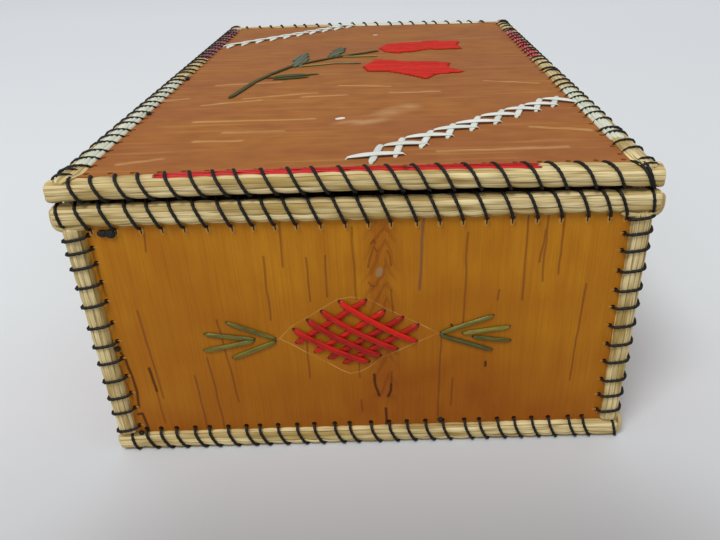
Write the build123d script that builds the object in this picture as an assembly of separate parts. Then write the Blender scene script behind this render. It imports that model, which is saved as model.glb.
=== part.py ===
from build123d import *

import os
from math import atan2, ceil, cos, degrees, floor, hypot, radians, sin, tan

# A lidded keepsake box of birch bark. Every edge is bound with a bundle of sweetgrass that a waxed
# thread lashes to the bark, and dyed porcupine quills decorate the front and the lid.
# Millimetres, X across, Y from the front to the back, Z up. The origin is the middle of the base,
# on the surface that the box stands on. The lid turns on thread ties along the right side.

# The box as a whole
overall_width = 170.0
overall_length = 268.0
overall_height = 98.0

# The lashing thread and the sweetgrass bundles
thread_diameter = 1.1
thread_clearance = 0.05
hole_clearance = 0.25
tight_bend = 1.1
floor_flat = 0.5
grass_radius = 2.75
stem_radius = 0.65
stem_count = 12
bundle_end_reach = 3.1
bundle_end_clearance = 0.15

# The bark sheets and their linings
bark_thickness = 1.3
lining_thickness = 1.2
lid_bark_thickness = 1.4
wall_stand_out = 0.9
lid_bark_rise = 1.8
panel_clearance = 0.1
wall_hole_margin = 1.7
lid_hole_margin = 2.4
lid_gap = 0.2

# Stitches along each edge, and how far a hand sets them off an even row, as shares of their space
rim_pitch = 6.65
lid_pitch = 7.15
base_pitch = 6.1
corner_pitch = 6.2
corner_stitches = 12
row_end_room = 4.2
most_loops = 24
uneven_shares = (0.0, 0.07, -0.05, 0.03, 0.09, -0.08, 0.04, -0.03, -0.09, 0.05, 0.02)

# The front's stitches: across as shares of the bark's width from its middle, up as shares of its
# height, for the rows of the two corner bundles
front_row_shares = {
    "rim": (
        -0.483, -0.439, -0.394, -0.355, -0.315, -0.273, -0.229, -0.190, -0.151, -0.112, -0.068,
        -0.023, 0.019, 0.060, 0.107, 0.149, 0.191, 0.234, 0.281, 0.326, 0.370, 0.418, 0.458, 0.487,
    ),
    "lid": (
        -0.484, -0.441, -0.401, -0.353, -0.309, -0.268, -0.230, -0.182, -0.135, -0.092, -0.044,
        0.003, 0.041, 0.088, 0.131, 0.179, 0.231, 0.286, 0.330, 0.382, 0.432, 0.482,
    ),
    "base": (
        -0.477, -0.446, -0.413, -0.373, -0.342, -0.302, -0.263, -0.234, -0.195, -0.154, -0.117,
        -0.073, -0.041, 0.005, 0.044, 0.082, 0.122, 0.159, 0.206, 0.238, 0.277, 0.313, 0.351,
        0.387, 0.430, 0.460,
    ),
}
corner_row_shares = {
    "front_left": (0.045, 0.143, 0.222, 0.310, 0.401, 0.484, 0.574, 0.672, 0.757, 0.839, 0.903, 0.957),
    "front_right": (0.058, 0.141, 0.223, 0.317, 0.404, 0.493, 0.580, 0.659, 0.745, 0.832, 0.903, 0.965),
}

# The three thread ties of the hinge, as shares of the lid's bark, and their figure-eight turns
tie_shares = (-0.40, -0.05, 0.36)
tie_pitch = 4.2
tie_turns = 2
tie_room = 10.5

# Quills
quill_width = 1.9
quill_thickness = 0.7
quill_clearance = 0.05
quill_taper = 2.6
quill_ramp = 1.2
quill_foot = 0.5
edging_width = 1.5
edging_height = 0.75
edging_length = 34.0
edging_gap = 0.4
bloom_pitch = 2.1
bloom_quill_width = 1.9

# How closely the printed least gaps are measured: points in a thread's diameter, the least run
# between two points that are compared, in diameters, and the most, in bundle radii
points_in_diameter = 3
least_run = 5
most_run = 12

# Where things lie, worked out from the sizes above
thread_radius = thread_diameter / 2
thread_line = grass_radius + thread_clearance + thread_radius
thread_reach = thread_line + thread_radius
hole_radius = thread_radius + hole_clearance
side_line = overall_width / 2 - thread_reach
end_line = overall_length / 2 - thread_reach
base_height = thread_reach - floor_flat
lid_height = overall_height - thread_reach
rim_height = lid_height - 2 * thread_reach - lid_gap
panel_start = grass_radius + panel_clearance
wall_hole = panel_start + wall_hole_margin
lid_hole = panel_start + lid_hole_margin
wall_inner = bark_thickness + lining_thickness - wall_stand_out
lid_lining_rise = lid_bark_rise - lid_bark_thickness
lid_under = lid_lining_rise - lining_thickness
panel_bottom = base_height + panel_start
panel_top = rim_height - panel_start
half_width = side_line - panel_start
half_length = end_line - panel_start
overrun = 2 * thread_diameter

# Each side as seen from outside: its turn about Z, how far out its bundles lie and how far they run
sides = {
    "front": (0, end_line, side_line),
    "right": (90, side_line, end_line),
    "back": (180, end_line, side_line),
    "left": (270, side_line, end_line),
}


def rounded_route(corners):
    """Straight runs joined by tangent arcs, through corners given as (point, bend radius)."""
    edges = []
    last = corners[0][0]
    for before, here, after in zip(corners, corners[1:], corners[2:]):
        corner, radius = here
        back = (before[0] - corner).normalized()
        ahead = (after[0] - corner).normalized()
        half_turn = radians(180 - back.get_angle(ahead)) / 2
        along = radius * tan(half_turn)
        first = corner + back * along
        end = corner + ahead * along
        middle = corner + (back + ahead).normalized() * (radius / cos(half_turn) - radius)
        edges.append(Edge.make_line(last, first))
        edges.append(Edge.make_three_point_arc(first, middle, end))
        last = end
    edges.append(Edge.make_line(last, corners[-1][0]))
    return Wire(edges)


def least_gap(route):
    """The least gap between turns of one thread, on points a third of a diameter apart."""
    count = ceil(points_in_diameter * route.length / thread_diameter)
    points = [tuple(route @ (i / count)) for i in range(count + 1)]
    apart = points_in_diameter * least_run
    turn = ceil(points_in_diameter * most_run * grass_radius / thread_diameter)
    least = route.length
    for i, (x, y, z) in enumerate(points):
        for u, v, w in points[i + apart : i + turn]:
            least = min(least, (x - u) ** 2 + (y - v) ** 2 + (z - w) ** 2)
    return least**0.5 - thread_diameter


def thread(name, corners):
    """One unbroken thread along a route, with its least gap to itself printed."""
    route = rounded_route(corners)
    section = Plane(origin=route @ 0, z_dir=route % 0) * Circle(thread_radius)
    tube = sweep(section, path=route)
    print(name, "least gap", round(least_gap(route), 2), "mm, length", round(route.length), "mm")
    return tube


def in_runs(places):
    """Stitch places shared out in runs of one thread each."""
    threads = ceil(len(places) / most_loops)
    size = ceil(len(places) / threads)
    return [places[i : i + size] for i in range(0, len(places), size)]


def stitch_runs(limit, pitch, ties=()):
    """Stitch places along an edge, in runs of one thread each, with room left round each tie."""
    edges = [-limit]
    for tie in ties:
        edges += [tie - tie_room, tie + tie_room]
    edges.append(limit)
    runs = []
    for low, high in zip(edges[::2], edges[1::2]):
        count = floor((high - low) / pitch) + 1
        first = (low + high) / 2 - (count - 1) * pitch / 2
        sway = [uneven_shares[i % len(uneven_shares)] for i in range(count)]
        sway[0] = sway[-1] = 0
        runs += in_runs([first + (i + sway[i]) * pitch for i in range(count)])
    return runs


# One loop of each lashing, as corners seen from the end of its bundle: the distance inboard, the
# height, the share of the pitch that the thread has moved along, and the bend's radius.
wide_bend = thread_line - thread_clearance
soft_bend = 3 * tight_bend
wall_mouth = 2 * thread_diameter
inner_mouth = wall_inner + thread_diameter
side_drop = 0.66 * thread_line
lid_rise = 0.57 * thread_line
lid_tuck = 0.45 * thread_line

rim_loop = (
    (thread_line, thread_line, -0.58, wide_bend),
    (-thread_line, thread_line, -0.42, wide_bend),
    (-thread_line, -side_drop, -0.1, soft_bend),
    (-wall_mouth, -wall_hole, 0, tight_bend),
    (inner_mouth, -wall_hole, 0, tight_bend),
    (thread_line, -side_drop, 0.1, soft_bend),
)
lid_loop = (
    (lid_hole, -lid_rise, 0, tight_bend),
    (lid_hole, thread_line, 0, tight_bend),
    (-thread_line, thread_line, 0.2, wide_bend),
    (-thread_line, -thread_line, 0.55, wide_bend),
    (lid_tuck, -thread_line, 0.8, soft_bend),
)
base_loop = (
    (inner_mouth, wall_hole, 0, tight_bend),
    (-wall_mouth, wall_hole, 0, tight_bend),
    (-thread_line, side_drop, 0.08, soft_bend),
    (-thread_line, -thread_line, 0.5, wide_bend),
    (side_drop, -thread_line, 0.62, soft_bend),
    (wall_hole, -wall_mouth, 0.7, tight_bend),
    (wall_hole, inner_mouth, 0.7, tight_bend),
)
base_panel_share = 0.7
# Seen from above, with the panel on the right along the first size and the left one along the second
corner_loop = (
    (inner_mouth, wall_hole, 0, tight_bend),
    (-wall_mouth, wall_hole, 0, tight_bend),
    (-thread_line, side_drop, 0.08, soft_bend),
    (-thread_line, -thread_line, 0.2, wide_bend),
    (side_drop, -thread_line, 0.32, soft_bend),
    (wall_hole, -wall_mouth, 0.4, tight_bend),
    (wall_hole, inner_mouth, 0.4, tight_bend),
)
corner_right_share = 0.4
tie_wall_share = 0.4


def edge_thread(name, loop, places, pitch, distance, height):
    """A lashing along the front of a side that lies this far out, before the side is turned."""
    corners = []
    for place in places:
        for inboard, up, share, bend in loop:
            point = Vector(place + share * pitch, inboard - distance, height + up)
            corners.append((point, bend))
    return thread(name, corners)


def grass_bundle(length):
    """A bundle of sweetgrass stems along Z from the origin, as a ribbed solid."""
    ring = grass_radius - stem_radius
    section = Circle(ring)
    for i in range(stem_count):
        angle = radians(360 * i / stem_count)
        section += Pos(ring * cos(angle), ring * sin(angle)) * Circle(stem_radius)
    return extrude(section, length)


def lying_bundle(low, high, distance, height):
    """A bundle along X from one place to another, on the front of a side before it is turned."""
    return Pos(low, -distance, height) * Rot(0, 90, 0) * grass_bundle(high - low)


def block(low, high):
    """A block between two opposite corners."""
    size = [h - l for l, h in zip(low, high)]
    middle = [(l + h) / 2 for l, h in zip(low, high)]
    return Pos(*middle) * Box(*size)


def turned(angle, shape):
    return Rot(0, 0, angle) * shape


parts = {}


def keep(node, shapes):
    """Keeps one piece, or a group of like pieces, under its name."""
    shapes = shapes if isinstance(shapes, list) else [shapes]
    solids = [solid for shape in shapes for solid in shape.solids()]
    parts[node] = solids[0] if len(solids) == 1 else Compound(children=solids)


tie_places = [share * 2 * half_length for share in tie_shares]
tie_lid_holes = [place + turn * tie_pitch for place in tie_places for turn in range(tie_turns)]
tie_wall_holes = [hole + tie_wall_share * tie_pitch for hole in tie_lid_holes]
panel_height = panel_top - panel_bottom
corners = {"front_left": "front", "front_right": "right", "back_right": "back", "back_left": "left"}


def corner_places(corner):
    """Heights at which the loops of one corner start, each in the bark on the corner's left."""
    rise = corner_right_share * corner_pitch
    if corner in corner_row_shares:
        heights = [panel_bottom + share * panel_height for share in corner_row_shares[corner]]
        return [height - rise if corners[corner] == "front" else height for height in heights]
    first = (panel_bottom + panel_top - (corner_stitches - 1) * corner_pitch - rise) / 2
    return [first + i * corner_pitch for i in range(corner_stitches)]


side_runs = {}
for side, (turn, distance, run) in sides.items():
    ties = tie_places if side == "right" else ()
    side_runs[side] = {
        "rim": stitch_runs(run - wall_hole - row_end_room, rim_pitch, ties),
        "lid": stitch_runs(run - lid_hole - row_end_room, lid_pitch, ties),
        "base": stitch_runs(run - wall_hole - row_end_room, base_pitch),
    }
for level, shares in front_row_shares.items():
    side_runs["front"][level] = in_runs([share * 2 * half_width for share in shares])


def flat_list(runs):
    return [place for run in runs for place in run]


def wall_holes(side):
    """The stitch holes through one wall and its lining, before the wall is turned."""
    turn, distance, run = sides[side]
    spots = [(x, rim_height - wall_hole) for x in flat_list(side_runs[side]["rim"])]
    spots += [(x, base_height + wall_hole) for x in flat_list(side_runs[side]["base"])]
    left = list(sides).index(side)
    right = (left + 1) % len(sides)
    rise = corner_right_share * corner_pitch
    spots += [(wall_hole - run, z + rise) for z in corner_places(list(corners)[left])]
    spots += [(run - wall_hole, z) for z in corner_places(list(corners)[right])]
    if side == "right":
        spots += [(x, rim_height - wall_hole) for x in tie_wall_holes]
    deep = 2 * (wall_stand_out + wall_inner + overrun)
    drill = Rot(90, 0, 0) * Cylinder(hole_radius, deep)
    return [Pos(x, -distance, z) * drill for x, z in spots]


def wall_sheet(side, outer, inner):
    """One sheet of a wall between two distances inboard of its bundles' line, with its holes."""
    turn, distance, run = sides[side]
    reach = run - panel_start
    sheet = block((-reach, outer - distance, panel_bottom), (reach, inner - distance, panel_top))
    return turned(turn, sheet.cut(*wall_holes(side)))


for side in sides:
    seam = bark_thickness - wall_stand_out
    keep(f"{side}_panel", wall_sheet(side, -wall_stand_out, seam))
    keep(f"{side}_lining", wall_sheet(side, seam, wall_inner))


def floor_and_lid_holes(edge, reach, shift, extra=()):
    """Upright stitch holes along all four edges of the base or of the lid."""
    deep = 2 * (bark_thickness + lid_bark_thickness + lining_thickness + grass_radius)
    drill = Cylinder(hole_radius, deep)
    holes = []
    for side, (turn, distance, run) in sides.items():
        places = [x + shift for x in flat_list(side_runs[side][edge])]
        if side == "right":
            places += extra
        height = base_height if edge == "base" else lid_height
        holes += [turned(turn, Pos(x, reach - distance, height) * drill) for x in places]
    return holes


def level_sheet(bottom, top, holes):
    sheet = block((-half_width, -half_length, bottom), (half_width, half_length, top))
    return sheet.cut(*holes)


base_holes = floor_and_lid_holes("base", wall_hole, base_panel_share * base_pitch)
base_seam = base_height - wall_stand_out + bark_thickness
keep("base_panel", level_sheet(base_height - wall_stand_out, base_seam, base_holes))
keep("base_lining", level_sheet(base_seam, base_height + wall_inner, base_holes))
lid_holes = floor_and_lid_holes("lid", lid_hole, 0, tie_lid_holes)
lid_top = lid_height + lid_bark_rise
lid_seam = lid_height + lid_lining_rise
keep("lid_panel", level_sheet(lid_seam, lid_top, lid_holes))
keep("lid_lining", level_sheet(lid_height + lid_under, lid_seam, lid_holes))

# The bundles: those of the front and back run the full width, and the side ones butt behind them
upright_gap = grass_radius + bundle_end_clearance
for level, height in (("rim", rim_height), ("lid", lid_height), ("base", base_height)):
    for side, (turn, distance, run) in sides.items():
        reach = run + bundle_end_reach if side in ("front", "back") else run - upright_gap
        bundle = lying_bundle(-reach, reach, distance, height)
        keep(f"{level}_grass_{side}", turned(turn, bundle))

post_low = base_height + upright_gap
post_high = rim_height - upright_gap
for corner, side in corners.items():
    turn, distance, run = sides[side]
    post = Pos(-run, -distance, post_low) * grass_bundle(post_high - post_low)
    keep(f"corner_grass_{corner}", turned(turn, post))

# The lashings
floor_block = block(
    (-overall_width, -overall_length, -overrun),
    (overall_width, overall_length, 0),
)
loops = {
    "rim": (rim_loop, rim_pitch, rim_height),
    "lid": (lid_loop, lid_pitch, lid_height),
    "base": (base_loop, base_pitch, base_height),
}
for level, (loop, pitch, height) in loops.items():
    for side, (turn, distance, run) in sides.items():
        tubes = []
        for places in side_runs[side][level]:
            name = f"{level} thread {side}"
            tube = edge_thread(name, loop, places, pitch, distance, height)
            tubes.append(turned(turn, tube))
        if level == "base":
            tubes = [tube.cut(floor_block) for tube in tubes]
        keep(f"{level}_thread_{side}", tubes)

for corner, side in corners.items():
    turn, distance, run = sides[side]
    route = []
    for place in corner_places(corner):
        for right, left, share, bend in corner_loop:
            point = Vector(right - run, left - distance, place + share * corner_pitch)
            route.append((point, bend))
    keep(f"corner_thread_{corner}", turned(turn, thread(f"corner thread {corner}", route)))

# The hinge ties: each thread turns round the lid's bundle and the rim's in figures of eight that
# cross in the outer valley between them, which is the line that the lid turns on.
valley = (lid_height + rim_height) / 2
over_rim = rim_height + thread_line - valley
under_lid = lid_height - thread_line - valley
lid_above = lid_height - valley
rim_below = rim_height - valley
tie_loop = (
    (lid_hole, lid_above - lid_rise, 0, tight_bend),
    (lid_hole, lid_above + thread_line, 0, tight_bend),
    (-thread_line, lid_above + thread_line, 0.1, wide_bend),
    (-thread_line, over_rim, 0.2, tight_bend),
    (thread_line, over_rim, 0.3, wide_bend),
    (thread_line, rim_below - side_drop, 0.35, soft_bend),
    (inner_mouth, rim_below - wall_hole, tie_wall_share, tight_bend),
    (-wall_mouth, rim_below - wall_hole, tie_wall_share, tight_bend),
    (-thread_line, rim_below - side_drop, 0.45, soft_bend),
    (-thread_line, under_lid, 0.6, tight_bend),
    (lid_tuck, under_lid, 0.85, soft_bend),
)
ties = []
for place in tie_places:
    turns = [place + turn * tie_pitch for turn in range(tie_turns)]
    tie = edge_thread("hinge tie", tie_loop, turns, tie_pitch, side_line, valley)
    ties.append(turned(90, tie))
keep("hinge_ties", ties)

# Quills on a face are laid out on these planes, from the middle of the near or lower edge
front_face = Plane(
    origin=(0, -end_line - wall_stand_out, panel_bottom), x_dir=(1, 0, 0), z_dir=(0, -1, 0)
)
lid_face = Plane(origin=(0, -half_length, lid_top), x_dir=(1, 0, 0), z_dir=(0, 0, 1))


def on_front(share):
    return share[0] * 2 * half_width, share[1] * panel_height


def on_lid(share):
    return share[0] * 2 * half_width, share[1] * 2 * half_length


def quill(start, end, bridges=False, width=quill_width):
    """A flattened quill between two points of a face. One that bridges others is lifted off it."""
    length = hypot(end[0] - start[0], end[1] - start[1])
    half = width / 2
    taper = min(quill_taper, length / 3)
    outline = Polyline(
        (0, 0), (taper, half), (length - taper, half),
        (length, 0), (length - taper, -half), (taper, -half), close=True,
    )
    lift = quill_thickness + quill_clearance if bridges else 0
    body = extrude(make_face(outline), lift + quill_thickness)
    if bridges:
        span = length - 2 * quill_ramp
        under = length - 2 * quill_ramp - 2 * quill_foot
        top = lift + quill_thickness
        profile = Polyline(
            (0, 0), (quill_ramp, top), (quill_ramp + span, top), (length, 0),
            (length - quill_foot, 0), (quill_ramp + quill_foot + under, lift),
            (quill_ramp + quill_foot, lift), (quill_foot, 0), close=True,
        )
        side_view = Rot(90, 0, 0) * make_face(profile)
        body &= extrude(side_view, half + overrun, both=True)
    angle = degrees(atan2(end[1] - start[1], end[0] - start[0]))
    return Pos(start[0], start[1]) * Rot(0, 0, angle) * body


def laid(face, pieces):
    return [face * piece for piece in pieces]


# The front's lattice of four quills each way, those that fall to the right lying on top
lattice_centre_share = (-0.006, 0.525)
lattice_length = 29.2
lattice_pitch = 5.4
lattice_count = 4
lattice_lean = 34.0


def lattice(lean, bridges):
    middle = on_front(lattice_centre_share)
    along = (cos(radians(lean)), sin(radians(lean)))
    across = (-along[1], along[0])
    quills = []
    for i in range(lattice_count):
        aside = (i - (lattice_count - 1) / 2) * lattice_pitch
        centre = [m + a * aside for m, a in zip(middle, across)]
        ends = [[c + d * s for c, d in zip(centre, along)] for s in (-lattice_length / 2, lattice_length / 2)]
        quills.append(quill(ends[0], ends[1], bridges))
    return quills


keep("lattice_rising_quills", laid(front_face, lattice(lattice_lean, False)))
keep("lattice_falling_quills", laid(front_face, lattice(-lattice_lean, True)))

left_sprig_shares = (
    ((-0.264, 0.602), (-0.176, 0.520)),
    ((-0.312, 0.549), (-0.206, 0.524)),
    ((-0.320, 0.460), (-0.206, 0.494)),
    ((-0.264, 0.417), (-0.176, 0.488)),
)
right_sprig_shares = (
    ((0.172, 0.522), (0.270, 0.597)),
    ((0.201, 0.520), (0.303, 0.540)),
    ((0.201, 0.490), (0.305, 0.464)),
    ((0.172, 0.488), (0.270, 0.413)),
)
for side, table_shares in (("left", left_sprig_shares), ("right", right_sprig_shares)):
    sprig = [quill(on_front(start), on_front(end)) for start, end in table_shares]
    keep(f"{side}_sprig_quills", laid(front_face, sprig))


# The lid's red flower: blooms of parallel quills laid side by side along their length
def bloom(outline_shares, lean):
    outline = make_face(Polyline(*[on_lid(share) for share in outline_shares], close=True))
    box = outline.bounding_box()
    middle = box.center()
    rows = ceil(box.diagonal / bloom_pitch)
    quills = []
    for i in range(rows):
        strip = Pos(0, (i - rows / 2) * bloom_pitch) * Rectangle(2 * box.diagonal, bloom_quill_width)
        cut = outline & (Pos(middle.X, middle.Y) * Rot(0, 0, lean) * strip)
        faces = cut.faces() if cut else []
        quills += [extrude(face, quill_thickness) for face in faces if face.area > bloom_pitch**2]
    return quills


upper_bloom_shares = (
    (0.019, 0.692), (0.083, 0.744), (0.204, 0.770), (0.305, 0.755),
    (0.270, 0.715), (0.296, 0.670), (0.188, 0.677), (0.083, 0.636),
)
lower_bloom_shares = (
    (-0.032, 0.522), (-0.009, 0.574), (0.042, 0.586), (0.242, 0.556), (0.222, 0.510),
    (0.271, 0.466), (0.190, 0.458), (0.151, 0.418), (0.098, 0.452), (-0.019, 0.490),
)
bloom_lean = 3.0
blooms = bloom(upper_bloom_shares, bloom_lean) + bloom(lower_bloom_shares, -bloom_lean)
keep("red_bloom_quills", laid(lid_face, blooms))

stem_quill_shares = (
    ((-0.341, 0.330), (-0.286, 0.458)),
    ((-0.281, 0.467), (-0.206, 0.560)),
    ((-0.196, 0.571), (-0.138, 0.606)),
    ((-0.126, 0.610), (-0.056, 0.632)),
    ((-0.046, 0.640), (0.012, 0.664)),
    ((-0.204, 0.534), (-0.118, 0.552)),
    ((-0.108, 0.553), (-0.040, 0.548)),
    ((-0.040, 0.620), (0.012, 0.612)),
    ((-0.268, 0.452), (-0.144, 0.474)),
    ((-0.222, 0.570), (-0.232, 0.620)),
    ((-0.205, 0.585), (-0.207, 0.642)),
    ((-0.136, 0.628), (-0.088, 0.703)),
)
stem = [quill(on_lid(start), on_lid(end)) for start, end in stem_quill_shares]
keep("stem_quills", laid(lid_face, stem))


# The white bands: a short quill across and a long one bridging it, over and over
def steps(first, last, count):
    first = on_lid(first)
    last = on_lid(last)
    return [[f + (l - f) * i / (count - 1) for f, l in zip(first, last)] for i in range(count)]


def band(count, starts_shares, ends_shares, bridges):
    starts = steps(*starts_shares, count)
    ends = steps(*ends_shares, count)
    return [quill(start, end, bridges) for start, end in zip(starts, ends)]


near_cross_starts_shares = ((-0.005, 0.016), (0.420, 0.225))
near_cross_ends_shares = ((0.024, 0.082), (0.455, 0.290))
near_long_starts_shares = ((-0.051, 0.043), (0.329, 0.249))
near_long_ends_shares = ((0.073, 0.050), (0.440, 0.235))
near_tail_shares = ((0.390, 0.281), (0.473, 0.264))
near_crosses = 9
near_band = band(near_crosses, near_cross_starts_shares, near_cross_ends_shares, False)
near_band += band(near_crosses - 1, near_long_starts_shares, near_long_ends_shares, True)
near_band.append(quill(on_lid(near_tail_shares[0]), on_lid(near_tail_shares[1]), True))
keep("near_band_quills", laid(lid_face, near_band))

far_cross_starts_shares = ((-0.438, 0.699), (-0.090, 0.896))
far_cross_ends_shares = ((-0.413, 0.746), (-0.065, 0.943))
far_long_starts_shares = ((-0.463, 0.723), (-0.122, 0.916))
far_long_ends_shares = ((-0.354, 0.733), (-0.013, 0.926))
far_crosses = 8
far_band = band(far_crosses, far_cross_starts_shares, far_cross_ends_shares, False)
far_band += band(far_crosses, far_long_starts_shares, far_long_ends_shares, True)
keep("far_band_quills", laid(lid_face, far_band))


# The edging quills lie end to end on the lid's bark, under the lashing, against the bundle
def edging(side, low_share, high_share):
    turn, distance, run = sides[side]
    reach = run - panel_start
    low = low_share * 2 * reach
    high = high_share * 2 * reach
    count = ceil((high - low) / edging_length)
    length = (high - low) / count - edging_gap
    middle = panel_start + panel_clearance + edging_width / 2 - distance
    pieces = []
    for i in range(count):
        first = low + i * (length + edging_gap)
        section = SlotOverall(length, edging_width)
        piece = Pos(first + length / 2, middle, lid_top) * extrude(section, edging_height)
        pieces.append(turned(turn, piece))
    return pieces


edging_shares = {
    "front_edging_red": ("front", -0.39, 0.32),
    "left_edging_white": ("left", 0.05, 0.44),
    "left_edging_maroon": ("left", -0.45, -0.13),
    "right_edging_white": ("right", -0.41, -0.14),
    "right_edging_red": ("right", 0.10, 0.40),
    "back_edging_white": ("back", -0.43, 0.16),
}
for node, (side, low_share, high_share) in edging_shares.items():
    keep(node, edging(side, low_share, high_share))

os.makedirs("parts", exist_ok=True)
for node, shape in parts.items():
    export_step(shape, f"parts/{node}.step")
print(len(parts), "nodes")
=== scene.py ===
# %% [markdown]
# # A birch bark box with quillwork
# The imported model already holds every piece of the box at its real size: bark sheets, bundles of
# sweetgrass, the lashing thread and the porcupine quills. This lesson keeps the bark as it is and
# gives it its finish, and it models the soft and wound pieces again with the detail that an eye
# close to the box sees: single stems, twisted thread, and glossy quills that dip into the bark.

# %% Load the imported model
from math import ceil, cos, floor, hypot, pi, radians, sin

import bpy
import numpy as np
from mathutils import Euler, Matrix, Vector


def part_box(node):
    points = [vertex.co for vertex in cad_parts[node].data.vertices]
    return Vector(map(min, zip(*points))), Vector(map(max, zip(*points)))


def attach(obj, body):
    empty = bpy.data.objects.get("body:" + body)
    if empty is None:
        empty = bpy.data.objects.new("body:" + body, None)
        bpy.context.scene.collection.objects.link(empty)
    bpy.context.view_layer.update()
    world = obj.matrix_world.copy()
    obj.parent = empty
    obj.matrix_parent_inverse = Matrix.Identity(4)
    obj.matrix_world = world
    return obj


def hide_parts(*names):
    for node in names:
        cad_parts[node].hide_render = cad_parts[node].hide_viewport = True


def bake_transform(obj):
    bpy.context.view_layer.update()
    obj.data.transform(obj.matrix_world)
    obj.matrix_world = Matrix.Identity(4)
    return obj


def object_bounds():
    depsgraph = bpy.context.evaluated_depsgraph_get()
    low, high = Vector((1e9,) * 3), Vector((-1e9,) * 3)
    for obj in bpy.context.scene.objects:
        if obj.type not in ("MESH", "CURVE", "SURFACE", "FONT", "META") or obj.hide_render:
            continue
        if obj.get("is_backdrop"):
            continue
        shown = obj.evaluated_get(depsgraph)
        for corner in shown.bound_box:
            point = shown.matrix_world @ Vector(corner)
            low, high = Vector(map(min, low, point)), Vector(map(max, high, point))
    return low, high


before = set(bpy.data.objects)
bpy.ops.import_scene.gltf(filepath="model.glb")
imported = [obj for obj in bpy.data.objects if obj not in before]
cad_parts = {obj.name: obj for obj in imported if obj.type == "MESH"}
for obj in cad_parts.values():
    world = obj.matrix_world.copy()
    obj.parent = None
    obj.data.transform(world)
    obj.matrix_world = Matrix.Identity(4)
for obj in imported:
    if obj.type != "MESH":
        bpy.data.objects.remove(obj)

cad_low, cad_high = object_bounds()
print(len(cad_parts), "nodes in a box of", [round(v, 4) for v in cad_high - cad_low])

# %% [markdown]
# Blender works in metres and a maker thinks in millimetres, so sizes are written in millimetres
# and turned once, where a mesh gets its points. Chance is drawn from one seeded source, so each
# run gives the same box. The lashing's sizes are how far the thread runs from the middle of its
# bundle, how far the holes lie from there, and how far it goes past the bark at each side.

# %% Units, chance and the sizes of the lashing
MM = 0.001
draw = np.random.default_rng(11)

thread_diameter = 1.1
thread_line = 3.12
wall_hole = 4.55
lid_hole = 5.25
wall_mouth = 2.2
inner_mouth = 2.7


def node_box(node):
    """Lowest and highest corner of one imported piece, in millimetres."""
    low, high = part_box(node)
    return np.array(low) / MM, np.array(high) / MM


def deselect():
    if bpy.context.object and bpy.context.object.mode != "OBJECT":
        bpy.ops.object.mode_set(mode="OBJECT")
    bpy.ops.object.select_all(action="DESELECT")


deselect()

# %% [markdown]
# ## The view
# The camera stands where the photographer stood: a little right of the middle, six centimetres
# above the lid and eighteen in front of the wall. Its place comes from lining up the box's rows of
# stitches, the ends of its rolls and its corners with the photograph, which is 720 by 540 pixels.
# The angles are the turn to the right, the tilt down and a slight lean. The photograph was trimmed
# a little off its middle, so the lens is shifted by the same 36 and 13 pixels.

# %% Camera
photo_width = 720
focal_px = 674.9
camera_place = (8.80, -306.52, 160.37)
camera_turn, camera_tilt, camera_lean = 0.46, 29.38, -1.38
framing_px = (35.6, 12.8)

bpy.ops.object.camera_add(location=[v * MM for v in camera_place])
camera = bpy.context.object
turn = Euler((0, 0, -radians(camera_turn))).to_matrix()
tilt = Euler((radians(90 - camera_tilt), 0, 0)).to_matrix()
lean = Euler((0, 0, radians(camera_lean))).to_matrix()
camera.rotation_euler = (turn @ tilt @ lean).to_euler()
camera.data.lens = camera.data.sensor_width * focal_px / photo_width
camera.data.shift_x = -framing_px[0] / photo_width
camera.data.shift_y = framing_px[1] / photo_width
camera.data.clip_start = 0.01
bpy.context.scene.camera = camera
print("lens", round(camera.data.lens, 1), "mm")

# %% [markdown]
# ## Materials
# Every finish is built from nodes. One function adds a node, sets it and links it, and one turns
# the written sRGB colours into the linear ones that Blender mixes.

# %% Helpers for materials


def linear(written, alpha=1.0):
    """A colour written as six hex digits, as linear red, green and blue."""
    parts = [int(written[i : i + 2], 16) / 255 for i in (1, 3, 5)]
    return [p / 12.92 if p <= 0.04045 else ((p + 0.055) / 1.055) ** 2.4 for p in parts] + [alpha]


def add(tree, kind, inputs=None, **settings):
    """Adds a node with its settings, and links or sets its inputs."""
    node = tree.nodes.new("ShaderNode" + kind)
    for name, value in settings.items():
        setattr(node, name, value)
    for key, value in (inputs or {}).items():
        if isinstance(value, bpy.types.NodeSocket):
            tree.links.new(value, node.inputs[key])
        else:
            node.inputs[key].default_value = value
    return node


def maths(tree, operation, *values, **settings):
    """The result of one step of arithmetic on sockets and numbers."""
    return add(tree, "Math", dict(enumerate(values)), operation=operation, **settings).outputs[0]


def mixed(tree, share, first, second):
    """A tone that runs from one written colour to the other as the share rises."""
    colours = {0: share, 6: linear(first), 7: linear(second)}
    return add(tree, "Mix", colours, data_type="RGBA").outputs[2]


def new_material(name, roughness, **shader):
    """A material with an empty surface: its node tree and its shader node."""
    material = bpy.data.materials.new(name)
    material.use_nodes = True
    tree = material.node_tree
    surface = tree.nodes["Principled BSDF"]
    surface.inputs["Roughness"].default_value = roughness
    for socket, value in shader.items():
        surface.inputs[socket.replace("_", " ")].default_value = value
    return material, tree, surface


def finish(tree, surface, colour, height=None, depth=0.1):
    """Links a finished colour, and a height in millimetres as bump."""
    tree.links.new(colour, surface.inputs["Base Color"])
    if height:
        bump = add(tree, "Bump", {"Height": height, "Distance": depth * MM, "Strength": 1.0})
        tree.links.new(bump.outputs[0], surface.inputs["Normal"])


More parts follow.
